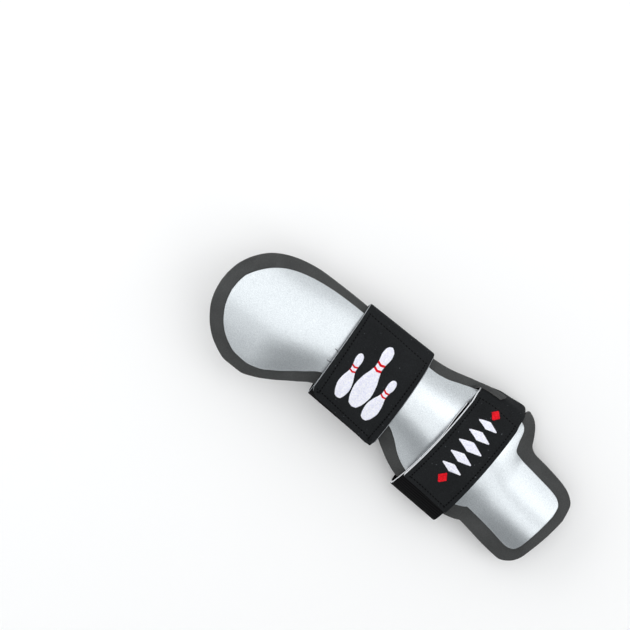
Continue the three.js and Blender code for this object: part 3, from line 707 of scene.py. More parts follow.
# %% Finishes of the glove
METAL = metal_finish()
FOAM = foam_finish("foam_face", linear(53, 54, 54), linear(84, 85, 85))
FOAM_EDGE = foam_finish("foam_cut_edge", linear(66, 65, 65), linear(108, 107, 106))
STRAP = strap_finish("strap_face", linear(24, 25, 26), linear(44, 46, 48))
STRAP_BACK = strap_finish("strap_back", linear(8, 8, 9), linear(24, 25, 26))
BAND = rib_finish("band_ribbed", linear(9, 9, 10), linear(28, 28, 29))
CORE_WHITE = core_finish("strap_core_white", linear(205, 207, 212), linear(245, 246, 248))
CORE_GREY = core_finish("strap_core_grey", linear(120, 124, 128), linear(190, 193, 197))
HOOKS = core_finish("hook_tape", linear(8, 8, 9), linear(30, 31, 33))
# Black thread, painted darker than the strap's own black. Each stitch then also shows the painted shade of the
# pit where it dives into the cloth. The loose thread ends use the same thread.
BLACK_THREAD_AND_PIT_SHADE = thread_finish("thread_black_and_pit_shade", linear(1, 1, 2), linear(7, 7, 8), 0.02, 0.9)
WHITE_THREAD = thread_finish("thread_white", linear(228, 229, 246), linear(253, 253, 255))
RED_THREAD = thread_finish("thread_red", linear(196, 8, 24), linear(246, 26, 44), 0.15)
print("finishes", ", ".join(sorted(m.name for m in bpy.data.materials)))


# %% [markdown]
# ## Metal splint
# The real one is a blank cut from aluminium sheet, rolled to shape, with its cut edge filed round. It
# could be a flat outline bent by a modifier, but its radius changes all the way along. So it is laid out as
# a grid: rows run from the forearm end to the fingers, columns from one edge to the other, and each point
# is put on the metal's surface. A few columns lie close to each edge, so that the rounding stays crisp.

# %% Rows and edges
def fine_rows(names, step, support=()):
    """Row numbers close enough that no edge step is longer than step."""
    rows = [0.0]
    rows += list(support)
    for first in range(len(OUTLINE) - 1):
        fine = np.linspace(first, first + 1, 21)
        longest = max(np.linalg.norm(np.diff(edge_at(n, fine), axis=0), axis=1).sum() for n in names)
        count = 2 * max(2, math.ceil(longest / step / 2))
        rows += list(np.linspace(first, first + 1, count + 1)[1:])
    last = rows.pop()
    rows += [last - s for s in reversed(support)] + [last]
    return np.unique(np.round(rows, 6))


def inset_edges(little, thumb, amount):
    """Both edges moved into the outline by an amount."""
    ring = np.concatenate([little, thumb[::-1]])
    run = np.roll(ring, -1, 0) - np.roll(ring, 1, 0)
    normal = np.stack([run[:, 1], -run[:, 0]], -1)
    normal /= np.linalg.norm(normal, axis=1, keepdims=True)
    area = (ring[:, 0] * np.roll(ring[:, 1], -1) - np.roll(ring[:, 0], -1) * ring[:, 1]).sum()
    ring = ring - normal * amount * (1 if area > 0 else -1)
    return ring[:len(little)], ring[len(little):][::-1]


def columns_between(width, count, near):
    """Shares across a rib with a few lines close to both edges, row by row."""
    near = np.asarray(near)[None, :] / width[:, None]
    room = np.linspace(0, 1, count)[None, :]
    middle = near[:, -1:] + room * (1 - 2 * near[:, -1:])
    return np.concatenate([np.zeros((len(width), 1)), near[:, :-1], middle, 1 - near[:, -2::-1],
                           np.ones((len(width), 1))], 1)


# %% Metal splint
EDGE = 0.35
METAL_STEP, METAL_COLUMNS = 1.3, 72
WAVINESS = 0.05
rows = fine_rows(["metalLittle", "metalThumb"], METAL_STEP, (0.02, 0.07))
little, thumb = inset_edges(edge_at("metalLittle", rows), edge_at("metalThumb", rows), EDGE)
width = np.linalg.norm(thumb - little, axis=1)
share = columns_between(width, METAL_COLUMNS, (0.2, 0.6))
flat = mix(little[:, None, :], thumb[:, None, :], share[..., None])
x, y = flat[..., 0], flat[..., 1]
# Rolled sheet is never quite even: a wave of a twentieth of a millimetre breaks up the reflections
wave = WAVINESS * np.sin(x / 17 + 1.3 * np.sin(y / 23)) * np.sin(y / 13 + 0.6)
normal = metal_normal(x, y)
upper = np.stack([x, y, metal_top(x, y)], -1) + normal * wave[..., None]
lower = upper - normal * METAL_THICKNESS
metal = sheet_body("metal_splint", upper, lower, [METAL], round_levels(EDGE, METAL_THICKNESS),
                   [0] * 7, EDGE)


# %% [markdown]
# ## Foam pad
# Cut from one sheet of dense foam, 3.2 mm thick, glued under the metal and standing out all round. Near the
# fingers the thumb margin is slit along the metal and cut open behind it, so that the hand strap can come
# down through it, and the tongue of foam left before the opening lies on the strap. A cloth simulation
# could press that tongue down, but it would also move the glued part. So the pad is one grid under the
# metal, and its margin moves over from the metal's surface to the strap's path row by row.

# %% Foam outline and slit
FOAM_EDGE_ROUND = 0.5
FOAM_STEP, INNER_COLUMNS, MARGIN_COLUMNS = 1.3, 61, 13
FOAM_STRIPS, MARGIN_STRIPS, MARGIN_START = 10, 3, 0.35
EASE_BEFORE_SLIT, EASE_AFTER_SLIT = (4, 2), (1.5, 4)
FINGER_CORNER_ROWS = [0.01, 0.03, 0.06, 0.10, 0.16, 0.22]
rows = fine_rows(["foamLittle", "foamThumb"], FOAM_STEP)
rows = np.unique(np.concatenate([rows, MOUTH_LAST_ROW + np.array(FINGER_CORNER_ROWS)]))
little, thumb = inset_edges(edge_at("foamLittle", rows), edge_at("foamThumb", rows), FOAM_EDGE_ROUND)
metal_edge = edge_at("metalThumb", rows)
reach = np.linalg.norm(metal_edge - little, axis=1)
slit = (1 - SLIT_INSET / reach)[:, None]
before, after = SLIT_FIRST_ROW - np.array(EASE_BEFORE_SLIT), SLIT_LAST_ROW + np.array(EASE_AFTER_SLIT)
near_slit = smooth_step(*before, rows) * (1 - smooth_step(*after, rows))
away_from_slit = mix(little, thumb, FOAM_STRIPS / (FOAM_STRIPS + MARGIN_STRIPS))
inner = mix(away_from_slit, mix(little, metal_edge, slit), near_slit[:, None])
print("foam pad in", len(rows), "rows")


# %% Foam under the metal
def lay_foam(x, y):
    """Upper and lower face of foam glued under the metal."""
    n = metal_normal(x, y)
    top = np.stack([x, y, metal_top(x, y) - (METAL_THICKNESS + GAP) / n[..., 2]], -1)
    return top, top - n * FOAM_THICKNESS


inner_share = np.linspace(0, 1, INNER_COLUMNS)
flat = mix(little[:, None, :], inner[:, None, :], inner_share[None, :, None])
upper_in, lower_in = lay_foam(flat[..., 0], flat[..., 1])
print("foam lies", GAP, "mm under the metal,", round(float(reach.max())), "mm wide at most")

# %% Foam margin and its rounded corners
TONGUE_CORNER, FINGER_CORNER = 2.6, 2.2
TONGUE_CORNER_ROWS = 0.4
FINGER_FULLER, FINGER_FORWARD, FINGER_ROWS = 1.3, 0.8, 1.4
margin = np.linspace(0, 1, MARGIN_COLUMNS)
share = (MARGIN_STRIPS * margin + MARGIN_START) / (MARGIN_STRIPS + MARGIN_START)
flat = mix(inner[:, None, :], thumb[:, None, :], share[None, :, None])
before_mouth = smooth_step(MOUTH_FIRST_ROW - TONGUE_CORNER_ROWS, MOUTH_FIRST_ROW, rows)
before_mouth = before_mouth * (rows <= MOUTH_FIRST_ROW)
retreat = np.outer(TONGUE_CORNER * before_mouth, 1 - np.sqrt(1 - (1 - margin) ** 2 * 0.96))
past = np.abs(outline["foamThumbX"](rows) - outline["foamThumbX"](MOUTH_LAST_ROW))
depth = np.clip(FINGER_CORNER - past, 0, FINGER_CORNER)
behind_mouth = rows >= MOUTH_LAST_ROW
fillet = (FINGER_CORNER - np.sqrt(FINGER_CORNER ** 2 - depth ** 2)) * behind_mouth
fuller = (1 - smooth_step(MOUTH_LAST_ROW, MOUTH_LAST_ROW + FINGER_ROWS, rows)) * behind_mouth
flat[..., 0] -= retreat + FINGER_FORWARD * fuller[:, None]
flat[..., 1] += np.outer(FINGER_FULLER * fuller - fillet, margin)
upper_out, lower_out = lay_foam(flat[..., 0], flat[..., 1])
print("mouth of the slit", round(float(np.ptp(outline["foamThumbX"]([MOUTH_FIRST_ROW, MOUTH_LAST_ROW]))), 1),
      "mm wide")

# %% Foam tongue on the strap
TONGUE_EDGE, TONGUE_END = 0.984, 1.074
TONGUE_GAP = GAP * 1.6
TONGUE_RISE_ROWS, SLIT_OPEN_ROWS = 1.6, 0.5
PRESSED_EDGE, PRESSED, PRESSED_SHARE = 0.35, 0.7, 0.3


def side_of_strap(x):
    """Which line of the hand strap passes under a station of the metal's thumb edge."""
    q = thumb_edge(x)
    return 2 * (x - hand.centre + q * HAND["slant"]) / (HAND["width"] - HAND["taper"] * q)


wanted = side_of_strap(flat[..., 0])
side = np.minimum(wanted, 1)
excess = (wanted - side) * HAND["width"] / 2
start = mix(1.0, TONGUE_EDGE, smooth_step(SLIT_FIRST_ROW, MOUTH_FIRST_ROW, rows))[:, None]
u = mix(start, TONGUE_END, margin[None, :])
pressed = mix(PRESSED_EDGE, PRESSED, smooth_step(0, PRESSED_SHARE, margin))[None, :]
under = hand.placed(u, side, STRAP_THICKNESS + TONGUE_GAP)
outside = hand.placed(u, side, STRAP_THICKNESS + TONGUE_GAP + FOAM_THICKNESS * pressed)
under[..., 0] += excess
outside[..., 0] += excess
raised = smooth_step(SLIT_FIRST_ROW - TONGUE_RISE_ROWS, SLIT_FIRST_ROW, rows) * (
    1 - smooth_step(MOUTH_FIRST_ROW, MOUTH_LAST_ROW, rows))
opened = raised * smooth_step(SLIT_FIRST_ROW - SLIT_OPEN_ROWS, SLIT_FIRST_ROW, rows)
lift = mix(opened[:, None], raised[:, None], smooth_step(0, 0.33, margin)[None, :])[..., None]
lower_out = mix(lower_out, under, lift)
upper_out = mix(upper_out, outside, lift)
print("tongue", round(FOAM_THICKNESS * PRESSED_EDGE, 2), "to", round(FOAM_THICKNESS * PRESSED, 2), "mm thick")

# %% Foam pad
SLIT_BULGE = 0.1
upper = np.concatenate([upper_in, upper_out], 1)
lower = np.concatenate([lower_in, lower_out], 1)
cell_row = (rows[:-1] + rows[1:]) / 2
keep = np.ones((len(rows) - 1, upper.shape[1] - 1), bool)
keep[(cell_row > SLIT_FIRST_ROW - SLIT_OPEN_ROWS) & (cell_row < SLIT_LAST_ROW), INNER_COLUMNS - 1] = False
keep[np.ix_((cell_row > MOUTH_FIRST_ROW) & (cell_row < MOUTH_LAST_ROW),
            np.arange(INNER_COLUMNS, keep.shape[1]))] = False
bulge = np.full(upper.shape[:2], SLIT_BULGE)
bulge[:, [0, -1]] = FOAM_EDGE_ROUND
bulge[[0, -1], :] = FOAM_EDGE_ROUND
foam = sheet_body("foam_sheet", upper, lower, [FOAM, FOAM_EDGE],
                  round_levels(FOAM_EDGE_ROUND, FOAM_THICKNESS), [1] * 7, bulge, keep=keep)


# %% [markdown]
# ## Straps
# Each strap is a laminate: knit face, pale foam core and a dark back, cut through at the edges so that the
# core shows as a pale line. It could be three thin sheets, but they would only touch inside, where nothing
# is seen. So a strap is one closed sheet whose wall is divided in three materials. A seam 3.5 mm inside the
# edge pulls the face down into a shallow groove. The straps are held taut in their loops by the hook tape,
# so they're laid on their paths as they are, without a simulation.

# %% Lines across a strap
SEAM_INSET = 3.5
NEAR_STEP, WIDE_STEP, NEAR_BAND = 0.6, 1.3, 6


def strap_sides(loop):
    """Side lines of a strap, closer together near its edges and in its rounded corners."""
    half, radius = loop.half, loop.s["tabCorner"]
    turns = np.linspace(0, math.pi / 2, max(5, round(radius * 2)))
    depths = list(radius * (1 - np.cos(turns)))
    while depths[-1] < NEAR_BAND:
        depths.append(depths[-1] + NEAR_STEP)
    room = half - depths[-1]
    depths += list(np.linspace(depths[-1], half, math.ceil(room / WIDE_STEP) + 1)[1:])
    sides = np.array(depths) / half - 1
    return np.concatenate([sides, -sides[-2::-1]])


# %% Strap sheets
START_RUN, START_STEP = 2.0, 0.5
DRAWN_RUN = 6
STRAP_BULGE = 0.12


def strap_sheet(name, loop, starts, stop, offset, thickness, materials, levels, walls, relief, step=1.2,
                cut=(0.0, 0.0, 0.0), aside=None, under_cut=0.0):
    """Strap from lengths starts, one per side line, to a common length stop.

    cut says how far the face is drawn back from the forearm edge, the finger edge and the end."""
    sides = strap_sides(loop)
    starts = starts(sides) if callable(starts) else np.full_like(sides, starts)
    meet = starts.max() + START_RUN
    fine = np.arange(0, 1.0001, START_STEP / (meet - starts.min()))
    even = np.linspace(meet, stop, math.ceil((stop - meet) / step) + 1)[1:]
    lengths = np.concatenate([mix(starts[None, :], meet, fine[:, None]),
                              np.repeat(even[:, None], len(sides), 1)])
    u = loop.at_length(lengths)
    lift = offset(u)
    across = np.broadcast_to(sides, u.shape) * loop.half
    from_end = lengths - starts[None, :]
    top = thickness + relief(across, lengths, from_end)
    shifted = across if aside is None else across + aside(lengths)
    drawn = shifted * (1 - np.where(across < 0, cut[0], cut[1]) / loop.half)
    back = lengths + cut[2] * (1 - smooth_step(0, DRAWN_RUN, from_end))
    upper = loop.placed(loop.at_length(back), drawn / loop.half, lift + top)
    lower = loop.placed(u, shifted * (1 - under_cut / loop.half) / loop.half, lift)
    uv = np.stack([across, lengths], -1)
    return sheet_body(name, upper, lower, materials, levels, walls, STRAP_BULGE, uv=uv)


# %% Relief of the strap faces
# Each pair is a height and a width in millimetres
GROOVE, CROSS_GROOVE, SOFT_EDGE = (-0.28, 0.8), (-0.22, 0.9), (-0.22, 1.1)
PUCKER, PUCKER_PITCH = (0.03, 1.5), 2.4
UNEVEN = 0.06
RIB_HEIGHT = 0.05


def bell(shape, distance):
    return shape[0] * np.exp(-(distance / shape[1]) ** 2)


def tab_relief(loop, seam):
    """Height of an upper end's face: sewn and puckered as far as the cross seam, soft at its edges."""
    def relief(across, along, from_end):
        edge = np.minimum(loop.half - np.abs(across), from_end)
        seam_line = along - seam - across * loop.s["skew"]
        sewn = 1 - smooth_step(-1.5, 0.5, seam_line)
        soft = SOFT_EDGE[0] * (1 - smooth_step(0, SOFT_EDGE[1], edge))
        pucker = np.sin(2 * math.pi * along / PUCKER_PITCH) * bell(PUCKER, edge - SEAM_INSET)
        inside = smooth_step(SEAM_INSET - 1, SEAM_INSET, loop.half - np.abs(across))
        uneven = UNEVEN * np.sin(along / 9 + across / 13) * np.sin(across / 7 + 0.5)
        return ((bell(GROOVE, edge - SEAM_INSET) + pucker) * sewn + soft
                + bell(CROSS_GROOVE, seam_line) * inside + uneven)
    return relief


def plain_relief(across, along, from_end):
    return 0.0 * across


def band_relief(across, along, from_end):
    return RIB_HEIGHT * np.sin(2 * math.pi * along / RIB_PITCH) - RIB_HEIGHT


# %% Three pieces of a strap
HOOK_WIDTH_SHARE = 0.88
BAND_CUT_SHARE = 0.6
PEEP_FROM, PEEP_FULL = 34, 12


def laminate(low, high):
    """Wall profile of a strap whose core shows between two shares of its depth."""
    return [(0.0, 0.0), (low * 0.5, 0.8), (low, 1.0), (high, 1.0), (1 - (1 - high) * 0.5, 0.8), (1.0, 0.0)]


def build_strap(tag, loop, seam_share, core, low, high, cut, peep):
    """Upper end, under end and hook tape. peep is how far the under end shows past the upper one."""
    palm = loop.length_at(3 + SEAM_HIGH)
    seam = loop.length_at(loop.at_across(seam_share))
    walls = [0, 0, 1, 2, 2]
    tab = strap_sheet(f"{tag}_tab_cloth", loop, loop.tab_start, palm, loop.tab_offset, STRAP_THICKNESS,
                      [STRAP, core, STRAP_BACK], laminate(low, high), walls, tab_relief(loop, seam), cut=cut)

    start = loop.length_at(3 + SEAM_LOW)
    end = loop.length_at(ROUND + loop.at_across(loop.s["bandEnd"]))
    band = strap_sheet(f"{tag}_band_cloth", loop, start, end, lambda u: 0 * u, STRAP_THICKNESS,
                       [BAND, core, STRAP_BACK], laminate(low, high), walls, band_relief, step=0.5,
                       cut=(cut[0] * BAND_CUT_SHARE, cut[1], 0.0),
                       aside=lambda along: -peep * smooth_step(end - PEEP_FROM, end - PEEP_FULL, along))

    hook_start, hook_end = (loop.length_at(loop.at_across(loop.s[k])) for k in ("hookLow", "hookHigh"))
    inset = (1 - HOOK_WIDTH_SHARE) * loop.half
    hook = strap_sheet(f"{tag}_hook_cloth", loop, hook_start, hook_end,
                       lambda u: 0 * u + STRAP_THICKNESS + GAP, HOOK_THICKNESS, [HOOKS],
                       [(0, 0), (0.5, 1.0), (1, 0)], [0, 0], plain_relief, cut=(inset, inset, 0.0),
                       under_cut=inset)
    print(tag, "strap flat:", *(round(float(b - a), 1) for a, b in (
        (loop.tab_start(np.array([0.0]))[0], palm), (start, end), (hook_start, hook_end))), "mm long")
    return tab, band, hook


# %% Straps
WRIST_SEAM, HAND_SEAM = 0.795, 0.851
wrist_parts = build_strap("wrist", wrist, WRIST_SEAM, CORE_GREY, 0.25, 0.75, (0.8, 1.0, 0.7), 0.0)
hand_parts = build_strap("hand", hand, HAND_SEAM, CORE_WHITE, 0.16, 0.84, (0.8, 0.4, 0.6), 1.5)


# %% [markdown]
# ## Stitches
# A machine sews the hook tape to the back of each upper end, round a rectangle 3.5 mm inside the edge and
# across at its far end. A bump pattern would look painted on from close by, and several hundred stitches
# set by hand couldn't follow a change of size. So the seam is laid out as lines on the strap, and Geometry
# Nodes put one modelled stitch on every pitch of a line, turned along it and a little uneven in size.

# %% Node tree helpers
def new_tree(name, inputs):
    tree = bpy.data.node_groups.new(name, "GeometryNodeTree")
    tree.interface.new_socket("Geometry", in_out="INPUT", socket_type="NodeSocketGeometry")
    for label, kind in inputs:
        tree.interface.new_socket(label, in_out="INPUT", socket_type=kind)
    tree.interface.new_socket("Geometry", in_out="OUTPUT", socket_type="NodeSocketGeometry")
    return tree, tree.nodes.new("NodeGroupInput"), tree.nodes.new("NodeGroupOutput")


def wire(tree, *pairs):
    for source, target in pairs:
        tree.links.new(source, target)


# %% Stitch tree
def stitch_tree():
    """One stitch of thread on every pitch of a line, turned along it."""
    tree, start, end = new_tree("stitch_line", [
        ("Stitch", "NodeSocketObject"), ("Pitch", "NodeSocketFloat"), ("Spread", "NodeSocketFloat"),
        ("Seed", "NodeSocketInt"), ("Material", "NodeSocketMaterial")])
    new = tree.nodes.new
    curve, points = new("GeometryNodeMeshToCurve"), new("GeometryNodeCurveToPoints")
    info, laid = new("GeometryNodeObjectInfo"), new("GeometryNodeInstanceOnPoints")
    turned, vary = new("FunctionNodeAlignRotationToVector"), new("FunctionNodeRandomValue")
    less, more = new("ShaderNodeMath"), new("ShaderNodeMath")
    real, paint = new("GeometryNodeRealizeInstances"), new("GeometryNodeSetMaterial")
    points.mode, turned.axis, vary.data_type = "LENGTH", "Z", "FLOAT"
    less.operation, more.operation = "SUBTRACT", "ADD"
    less.inputs[0].default_value = more.inputs[0].default_value = 1.0
    wire(tree, (start.outputs["Geometry"], curve.inputs["Mesh"]),
         (curve.outputs["Curve"], points.inputs["Curve"]),
         (start.outputs["Pitch"], points.inputs["Length"]),
         (points.outputs["Points"], laid.inputs["Points"]),
         (start.outputs["Stitch"], info.inputs["Object"]),
         (info.outputs["Geometry"], laid.inputs["Instance"]),
         (points.outputs["Tangent"], turned.inputs["Vector"]),
         (turned.outputs["Rotation"], laid.inputs["Rotation"]),
         (start.outputs["Spread"], less.inputs[1]), (start.outputs["Spread"], more.inputs[1]),
         (less.outputs[0], vary.inputs[2]), (more.outputs[0], vary.inputs[3]),
         (start.outputs["Seed"], vary.inputs["Seed"]),
         (vary.outputs[1], laid.inputs["Scale"]),
         (laid.outputs["Instances"], real.inputs["Geometry"]),
         (real.outputs["Geometry"], paint.inputs["Geometry"]),
         (start.outputs["Material"], paint.inputs["Material"]),
         (paint.outputs["Geometry"], end.inputs["Geometry"]))
    return tree


STITCH_TREE = stitch_tree()
print(STITCH_TREE.name, len(STITCH_TREE.nodes), "nodes")

# %% Thread tree
def thread_tree():
    """Round thread along every line of a mesh."""
    tree, start, end = new_tree("satin_thread", [
        ("Radius", "NodeSocketFloat"), ("Sides", "NodeSocketInt"), ("Material", "NodeSocketMaterial")])
    new = tree.nodes.new
    curve, ring = new("GeometryNodeMeshToCurve"), new("GeometryNodeCurvePrimitiveCircle")
    tube = new("GeometryNodeCurveToMesh")
    tube.inputs["Fill Caps"].default_value = True
    real, paint = new("GeometryNodeRealizeInstances"), new("GeometryNodeSetMaterial")
    wire(tree, (start.outputs["Geometry"], curve.inputs["Mesh"]),
         (curve.outputs["Curve"], tube.inputs["Curve"]),
         (start.outputs["Radius"], ring.inputs["Radius"]),
         (start.outputs["Sides"], ring.inputs["Resolution"]),
         (ring.outputs["Curve"], tube.inputs["Profile Curve"]),
         (tube.outputs["Mesh"], real.inputs["Geometry"]),
         (real.outputs["Geometry"], paint.inputs["Geometry"]),
         (start.outputs["Material"], paint.inputs["Material"]),
         (paint.outputs["Geometry"], end.inputs["Geometry"]))
    return tree


THREAD_TREE = thread_tree()
print(THREAD_TREE.name, len(THREAD_TREE.nodes), "nodes")


# %% From lines to thread
def grown(name, lines, tree, values):
    """Lines in millimetres put through a node tree and turned into a plain mesh."""
    points, edges = [], []
    for line in lines:
        edges += [(len(points) + k, len(points) + k + 1) for k in range(len(line) - 1)]
        points += [tuple(p) for p in (np.asarray(line) + SHIFT) * MM]
    mesh = bpy.data.meshes.new(name + "_lines")
    mesh.from_pydata(points, edges, [])
    source = put_in_scene(name + "_lines", mesh)
    modifier = source.modifiers.new("grow", "NODES")
    modifier.node_group = tree
    sockets = {i.name: i.identifier for i in tree.interface.items_tree
               if i.item_type == "SOCKET" and i.in_out == "INPUT"}
    for label, value in values.items():
        modifier[sockets[label]] = value
    graph = bpy.context.evaluated_depsgraph_get()
    made = bpy.data.meshes.new_from_object(source.evaluated_get(graph), depsgraph=graph)
    bpy.data.objects.remove(source)
    made.name = name
    made.polygons.foreach_set("use_smooth", np.ones(len(made.polygons), bool))
    print(name, len(lines), "lines,", len(made.polygons), "faces")
    return put_in_scene(name, made)


# %% One stitch
STITCH_LENGTH, STITCH_RADIUS = 1.4, 0.38
STITCH_RINGS, STITCH_SIDES = 7, 8


def stitch_object():
    """A stitch of thread lying along Z, thinner where it dives into the cloth."""
    rings, sides, half = STITCH_RINGS, STITCH_SIDES, STITCH_LENGTH / 2
    t = np.linspace(-1, 1, rings)
    r = STITCH_RADIUS * np.sqrt(1 - 0.9 * t ** 4)
    around = np.arange(sides) * 2 * math.pi / sides
    ring = np.stack([r[:, None] * np.cos(around), r[:, None] * np.sin(around),
                     np.broadcast_to((t * half)[:, None], (rings, sides))], -1).reshape(-1, 3)
    tip = half + STITCH_RADIUS * 0.3
    faces = []
    for i in range(rings - 1):
        for j in range(sides):
            k = (j + 1) % sides
            faces.append((i * sides + j, i * sides + k, (i + 1) * sides + k, (i + 1) * sides + j))
    for j in range(sides):
        k = (j + 1) % sides
        faces.append((rings * sides, k, j))
        faces.append((rings * sides + 1, (rings - 1) * sides + j, (rings - 1) * sides + k))
    mesh = bpy.data.meshes.new("one_stitch")
    mesh.from_pydata((np.concatenate([ring, [[0, 0, -tip], [0, 0, tip]]]) * MM).tolist(), [], faces)
    print("one stitch", len(faces), "faces")
    return put_in_scene("one_stitch", mesh)


# %% Lines on a strap
def on_strap(loop, seam_share, across, along, height):
    """Points on the upper face of a tab. across and along are millimetres on the strap."""
    across, along = np.asarray(across, float), np.asarray(along, float)
    side = across / loop.half
    u = loop.at_length(along)
    relief = tab_relief(loop, loop.length_at(loop.at_across(seam_share)))
    top = STRAP_THICKNESS + relief(across, along, along - loop.tab_start(side))
    return loop.placed(u, side, loop.tab_offset(u) + top + height)


def evenly_spaced(points, step=0.5):
    points = np.array(points)
    run = np.concatenate([[0], np.cumsum(np.linalg.norm(np.diff(points, axis=0), axis=1))])
    fine = np.linspace(0, run[-1], max(2, int(run[-1] / step)))
    return np.stack([np.interp(fine, run, points[:, k]) for k in (0, 1)], -1)


def sewn_rectangle(loop, seam_share):
    """Lines of the seam round the hook tape, as places across and along the strap."""
    edge = loop.half - SEAM_INSET
    corner = max(loop.s["tabCorner"] - SEAM_INSET, 0.6)
    seam = loop.length_at(loop.at_across(seam_share))
    near = loop.tab_start(np.array([0.0]))[0] + SEAM_INSET
    skew = loop.s["skew"]
    turns = np.linspace(0, math.pi / 2, 6)
    bend = np.stack([np.sin(turns), np.cos(turns)], -1)
    low = [(-edge + corner * (1 - b), near - edge * skew + corner * (1 - a)) for a, b in bend[::-1]]
    high = [(edge - corner * (1 - b), near + edge * skew + corner * (1 - a)) for a, b in bend]
    ends = [(-edge, seam - edge * skew), (edge, seam + edge * skew)]
    return evenly_spaced([ends[0], *low, *high, ends[1]]), evenly_spaced(ends)


# %% Seams
STITCH_PITCH, STITCH_SPREAD, STITCH_HEIGHT = 2.6, 0.08, 0.06
one_stitch = stitch_object()


def sew(name, loop, seam_share, seed):
    seam_lines = [on_strap(loop, seam_share, line[:, 0], line[:, 1], STITCH_HEIGHT)
                  for line in sewn_rectangle(loop, seam_share)]
    # The near-black thread is the stitch's own black plus the painted shade of its pits
    return grown(name, seam_lines, STITCH_TREE, {
        "Stitch": one_stitch, "Pitch": STITCH_PITCH * MM, "Spread": STITCH_SPREAD, "Seed": seed,
        "Material": BLACK_THREAD_AND_PIT_SHADE})


wrist_seam = sew("wrist_tab_seam", wrist, WRIST_SEAM, 3)
hand_seam = sew("hand_tab_seam", hand, HAND_SEAM, 5)
bpy.data.objects.remove(one_stitch)


# %% [markdown]
# ## Loose thread ends
# Two cut thread ends stand out at the wrist strap's forearm edge, as a trimmed seam leaves them.
# They are too few for a hair system, which would also choose their places by itself. Each is a short curved
# line that starts inside the strap and droops at its free end, turned into thread by the thread tree.

# %% Loose thread ends
LOOSE_RADIUS, LOOSE_SIDES, DROOP = 0.22, 8, 1.5
# Place across, how far it reaches out and how far it curls, in millimetres
LOOSE_ENDS = [(-9.9, 2.8, 0.7), (-18.4, 3.2, -0.5)]


def loose_end(loop, y, reach, curl):
    """Thread that sticks out square to the forearm edge of a strap and droops a little."""
    t = np.linspace(-0.3, 1, 12)
    q = y + curl * np.sin(2.2 * t)
    x = loop.plan(q, -1.0) - reach * t
    start = loop.tab_offset(loop.at_across((y - START_Y) / PAD_WIDTH)) + STRAP_THICKNESS / 2
    z = metal_top(x, q) + start - DROOP * np.maximum(t, 0) ** 2
    return np.stack([x, q, z], -1)


loose = grown("loose_threads", [loose_end(wrist, *end) for end in LOOSE_ENDS], THREAD_TREE,
              {"Radius": LOOSE_RADIUS * MM, "Sides": LOOSE_SIDES, "Material": BLACK_THREAD_AND_PIT_SHADE})


# %% [markdown]
# ## Decoration
# The real straps carry raised embroidery. The motifs here are plain ones: three bowling pins on the wide
# strap, a row of lozenges between two diamonds on the narrow one. Satin stitch is thread laid side by side
# from the middle line of a shape out to its outline, rising in between, and light runs along it in a way
# that a flat print or a bump can't give. So every thread is a line on the strap, its length read from the
# half width of the motif at that place, and the thread tree makes it round.

# %% Motifs
# Each gives its half width at a share of its height, as a share of the height
PIN_HEIGHTS = [0.0, 0.02, 0.12, 0.30, 0.45, 0.58, 0.665, 0.75, 0.86, 0.94, 0.985, 1.0]
PIN_WIDTHS = [0.066, 0.072, 0.122, 0.158, 0.132, 0.083, 0.060, 0.066, 0.085, 0.072, 0.035, 0.0]
PIN_NECK = ((0.60, 0.635), (0.69, 0.725))
pin_half_width = Smooth(PIN_HEIGHTS, PIN_WIDTHS)


def lozenge_half_width(share):
    return 0.17 * (1 - np.abs(2 * share - 1)) ** 0.9


def diamond_half_width(share):
    return 0.42 * (1 - np.abs(2 * share - 1))


print("widest pin half width", float(pin_half_width(0.30)))

# %% Satin stitch
THREAD_STEP, THREAD_RADIUS, THREAD_SIDES = 0.40, 0.23, 6
SHORTEST, RAGGED = 0.25, 0.06
THREAD_LOW, THREAD_RISE = 0.10, 0.30
rng = np.random.default_rng(11)


def satin(across, along, turn, length, half_width, bands=(), slant=0.35):
    """Threads of one shape: places across, along and up, and whether they lie in a red band."""
    threads = []
    for start in np.arange(THREAD_STEP / 2, length, THREAD_STEP):
        for half in (-1, 1):
            reach = 0.0
            for _ in range(12):
                place = np.clip((start + slant * reach) / length, 0, 1)
                reach = 0.5 * reach + 0.5 * float(half_width(place)) * length
            if reach < SHORTEST:
                continue
            reach += rng.uniform(-RAGGED, RAGGED)
            t = np.linspace(0, 1, 7)
            up, out = start + slant * reach * t, half * reach * t
            a = across + up * math.sin(turn) + out * math.cos(turn)
            b = along + up * math.cos(turn) - out * math.sin(turn)
            rise = THREAD_LOW + THREAD_RISE * np.sin(math.pi * (0.08 + 0.87 * t)) ** 0.7
            threads.append((a, b, rise, any(low < start / length < high for low, high in bands)))
    return threads


def decorate(name, loop, seam_share, centre_share, threads):
    """White threads and red threads of a strap's decoration, as one piece each."""
    middle = loop.length_at(loop.at_across(centre_share))
    made = []
    for tag, material, wanted in (("white", WHITE_THREAD, False), ("red", RED_THREAD, True)):
        laid = [np.stack(thread[:3]) for thread in threads if thread[3] == wanted]
        across, along, rise = np.stack(laid, 1)
        made.append(grown(f"{name}_{tag}", on_strap(loop, seam_share, across, middle + along, rise),
                          THREAD_TREE, {"Radius": THREAD_RADIUS * MM, "Sides": THREAD_SIDES,
                                        "Material": material}))
    return made


# %% Three pins
# Place across and along of the foot, lean in radians and height, in millimetres
PINS = [(0.0, -22.0, 0.0, 46.0), (-12.0, -24.0, -0.10, 33.0), (12.0, -24.0, 0.10, 33.0)]
pins = []
for pin in PINS:
    pins += satin(*pin, pin_half_width, PIN_NECK)
wrist_art = decorate("wrist_pins", wrist, WRIST_SEAM, 0.515, pins)

